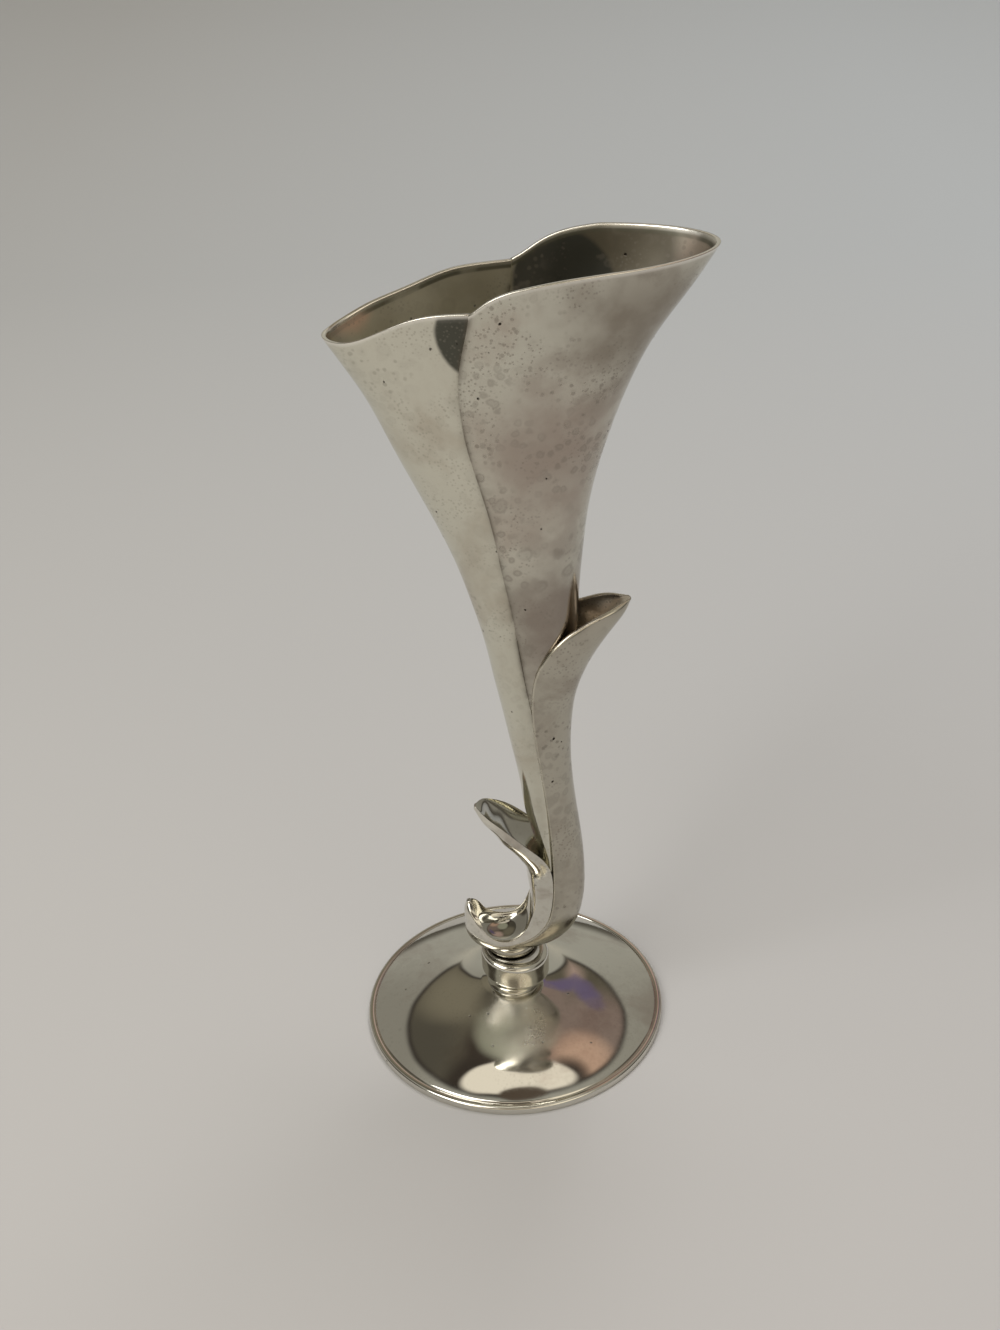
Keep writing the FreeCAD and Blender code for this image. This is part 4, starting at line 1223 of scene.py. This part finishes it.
def make_lamp(name, place, aim, size, power, colour, glints):
    light = bpy.data.lights.new(name, "AREA")
    light.shape = "RECTANGLE"
    light.size, light.size_y = size
    light.energy = power
    light.color = colour
    lamp = bpy.data.objects.new(name, light)
    lamp.location = place
    lamp.rotation_euler = (Vector(aim) - Vector(place)).to_track_quat("-Z", "Y").to_euler()
    lamp.visible_glossy = glints
    bpy.context.scene.collection.objects.link(lamp)


# What the polish reflects: a pale tent with a dark-edged opening above it and a bright
# front. Each soft area is a direction (azimuth from +X, elevation), its half width and
# its softness in degrees, and its colour.
TENT_COLOUR = (0.42, 0.41, 0.36)
ROOM_COLOUR = (0.13, 0.115, 0.085)
OPENING = (90, 62, 33, 2)
OPENING_EDGE = 1.4
EDGE_COLOUR = (0.05, 0.042, 0.036)
TENT_AREAS = (
    (150, 25, 20, 24, (0.30, 0.285, 0.245)),
    (10, 15, 30, 30, (0.34, 0.325, 0.28)),
    (183, 8, 14, 12, (0.09, 0.08, 0.065)),
    (357, 8, 14, 12, (0.09, 0.08, 0.065)),
    (270, 30, 42, 12, (0.48, 0.45, 0.38)),
    (270, 62, 9, 8, (0.10, 0.09, 0.075)),
    (270, 0, 6, 6, (0.10, 0.09, 0.075)),
)
ROOM_AREAS = (
    (90, 77, 13, 8, (0.06, 0.048, 0.038)),
    (168, 72, 4, 8, (0.05, 0.04, 0.032)),
    (25, 60, 20, 14, (0.27, 0.205, 0.175)),
    (27, 66, 4, 10, (0.62, 0.42, 0.31)),
    (80, 40, 4, 8, (0.56, 0.41, 0.35)),
    (71, 40, 0, 4, (0.22, 0.17, 0.22)),
    (66, 42, 0, 5, (0.17, 0.135, 0.22)),
    (61, 44, 0, 5, (0.165, 0.13, 0.22)),
    (56, 46, 0, 4, (0.20, 0.155, 0.20)),
    (10, 73, 3, 7, (0.06, 0.048, 0.04)),
    (150, 48, 8, 14, (0.10, 0.09, 0.07)),
    (108, 45, 5, 12, (0.23, 0.205, 0.15)),
    (91, 69, 9, 5, (0.42, 0.42, 0.32)),
)
# Oblong bright and dark spots: direction, how much its spread counts along each axis,
# size, softness and colour.
SPOTS = (
    ((0.0, 0.05, 1.0), (0.36, 1.0, 0.2), 0.112, 0.02, (1.02, 0.94, 0.80)),
    ((0.02, -0.07, 1.0), (0.30, 1.0, 0.2), 0.038, 0.015, (0.10, 0.075, 0.055)),
    ((0.0, -0.90, 0.42), (0.5, 0.2, 1.0), 0.33, 0.05, (1.14, 1.04, 0.85)),
    ((-0.06, -0.90, 0.47), (0.5, 0.2, 1.0), 0.17, 0.06, (0.16, 0.13, 0.10)),
    ((0.20, -0.90, 0.42), (0.6, 0.2, 1.0), 0.04, 0.02, (1.6, 1.4, 1.2)),
)
HORIZON_BAND = (0.02, 0.13)
HORIZON_COLOUR = (0.11, 0.10, 0.082)
BACKDROP_COLOUR = (0.40, 0.39, 0.38)


def area_mask(tree, way, azimuth, elevation, half_width, softness):
    """Full within the half width of a direction, and fading out over the softness."""
    azimuth, elevation = math.radians(azimuth), math.radians(elevation)
    toward = (math.cos(elevation) * math.cos(azimuth),
              math.cos(elevation) * math.sin(azimuth), math.sin(elevation))
    lean = tree.vector_maths("DOT_PRODUCT", way, toward)["Value"]
    return tree.band(lean, math.cos(math.radians(half_width + softness)),
                     math.cos(math.radians(half_width)))


def spot_mask(tree, way, toward, spread, radius, softness):
    """Full within an oblong round a direction, and fading out over the softness."""
    away = tree.vector_maths("SUBTRACT", way, Vector(toward).normalized())[0]
    away = tree.vector_maths("MULTIPLY", away, spread)[0]
    return tree.band(tree.vector_maths("LENGTH", away)["Value"], radius + softness, radius)


def make_world():
    """What the polish reflects, with a plain backdrop for the camera."""
    world = bpy.data.worlds.new("studio")
    bpy.context.scene.world = world
    world.use_nodes = True
    tree = Nodes(world.node_tree)
    way = tree.add("ShaderNodeTexCoord").outputs["Generated"]

    def laid_over(colour, mask, areas):
        for *place, tone in areas:
            colour = tree.blend(mask(tree, way, *place), colour, tone)
        return colour

    room = laid_over(ROOM_COLOUR, area_mask, ROOM_AREAS)
    azimuth, elevation, half_width, softness = OPENING
    opening = ((*OPENING, EDGE_COLOUR),
               (azimuth, elevation, half_width - OPENING_EDGE, softness, room))
    seen = laid_over(TENT_COLOUR, area_mask, TENT_AREAS + opening)
    seen = laid_over(seen, spot_mask, SPOTS)
    rise = tree.vector_maths("DOT_PRODUCT", way, (0, 0, 1))["Value"]
    seen = tree.blend(tree.band(rise, *HORIZON_BAND), HORIZON_COLOUR, seen)
    from_camera = tree.add("ShaderNodeLightPath").outputs["Is Camera Ray"]
    tree.fill(world.node_tree.nodes["Background"], {
        "Color": tree.blend(from_camera, seen, BACKDROP_COLOUR), "Strength": 1.0})


make_floor()
for name, values in LAMPS.items():
    make_lamp(name, *values)
make_world()
bpy.context.scene.view_settings.view_transform = "Standard"
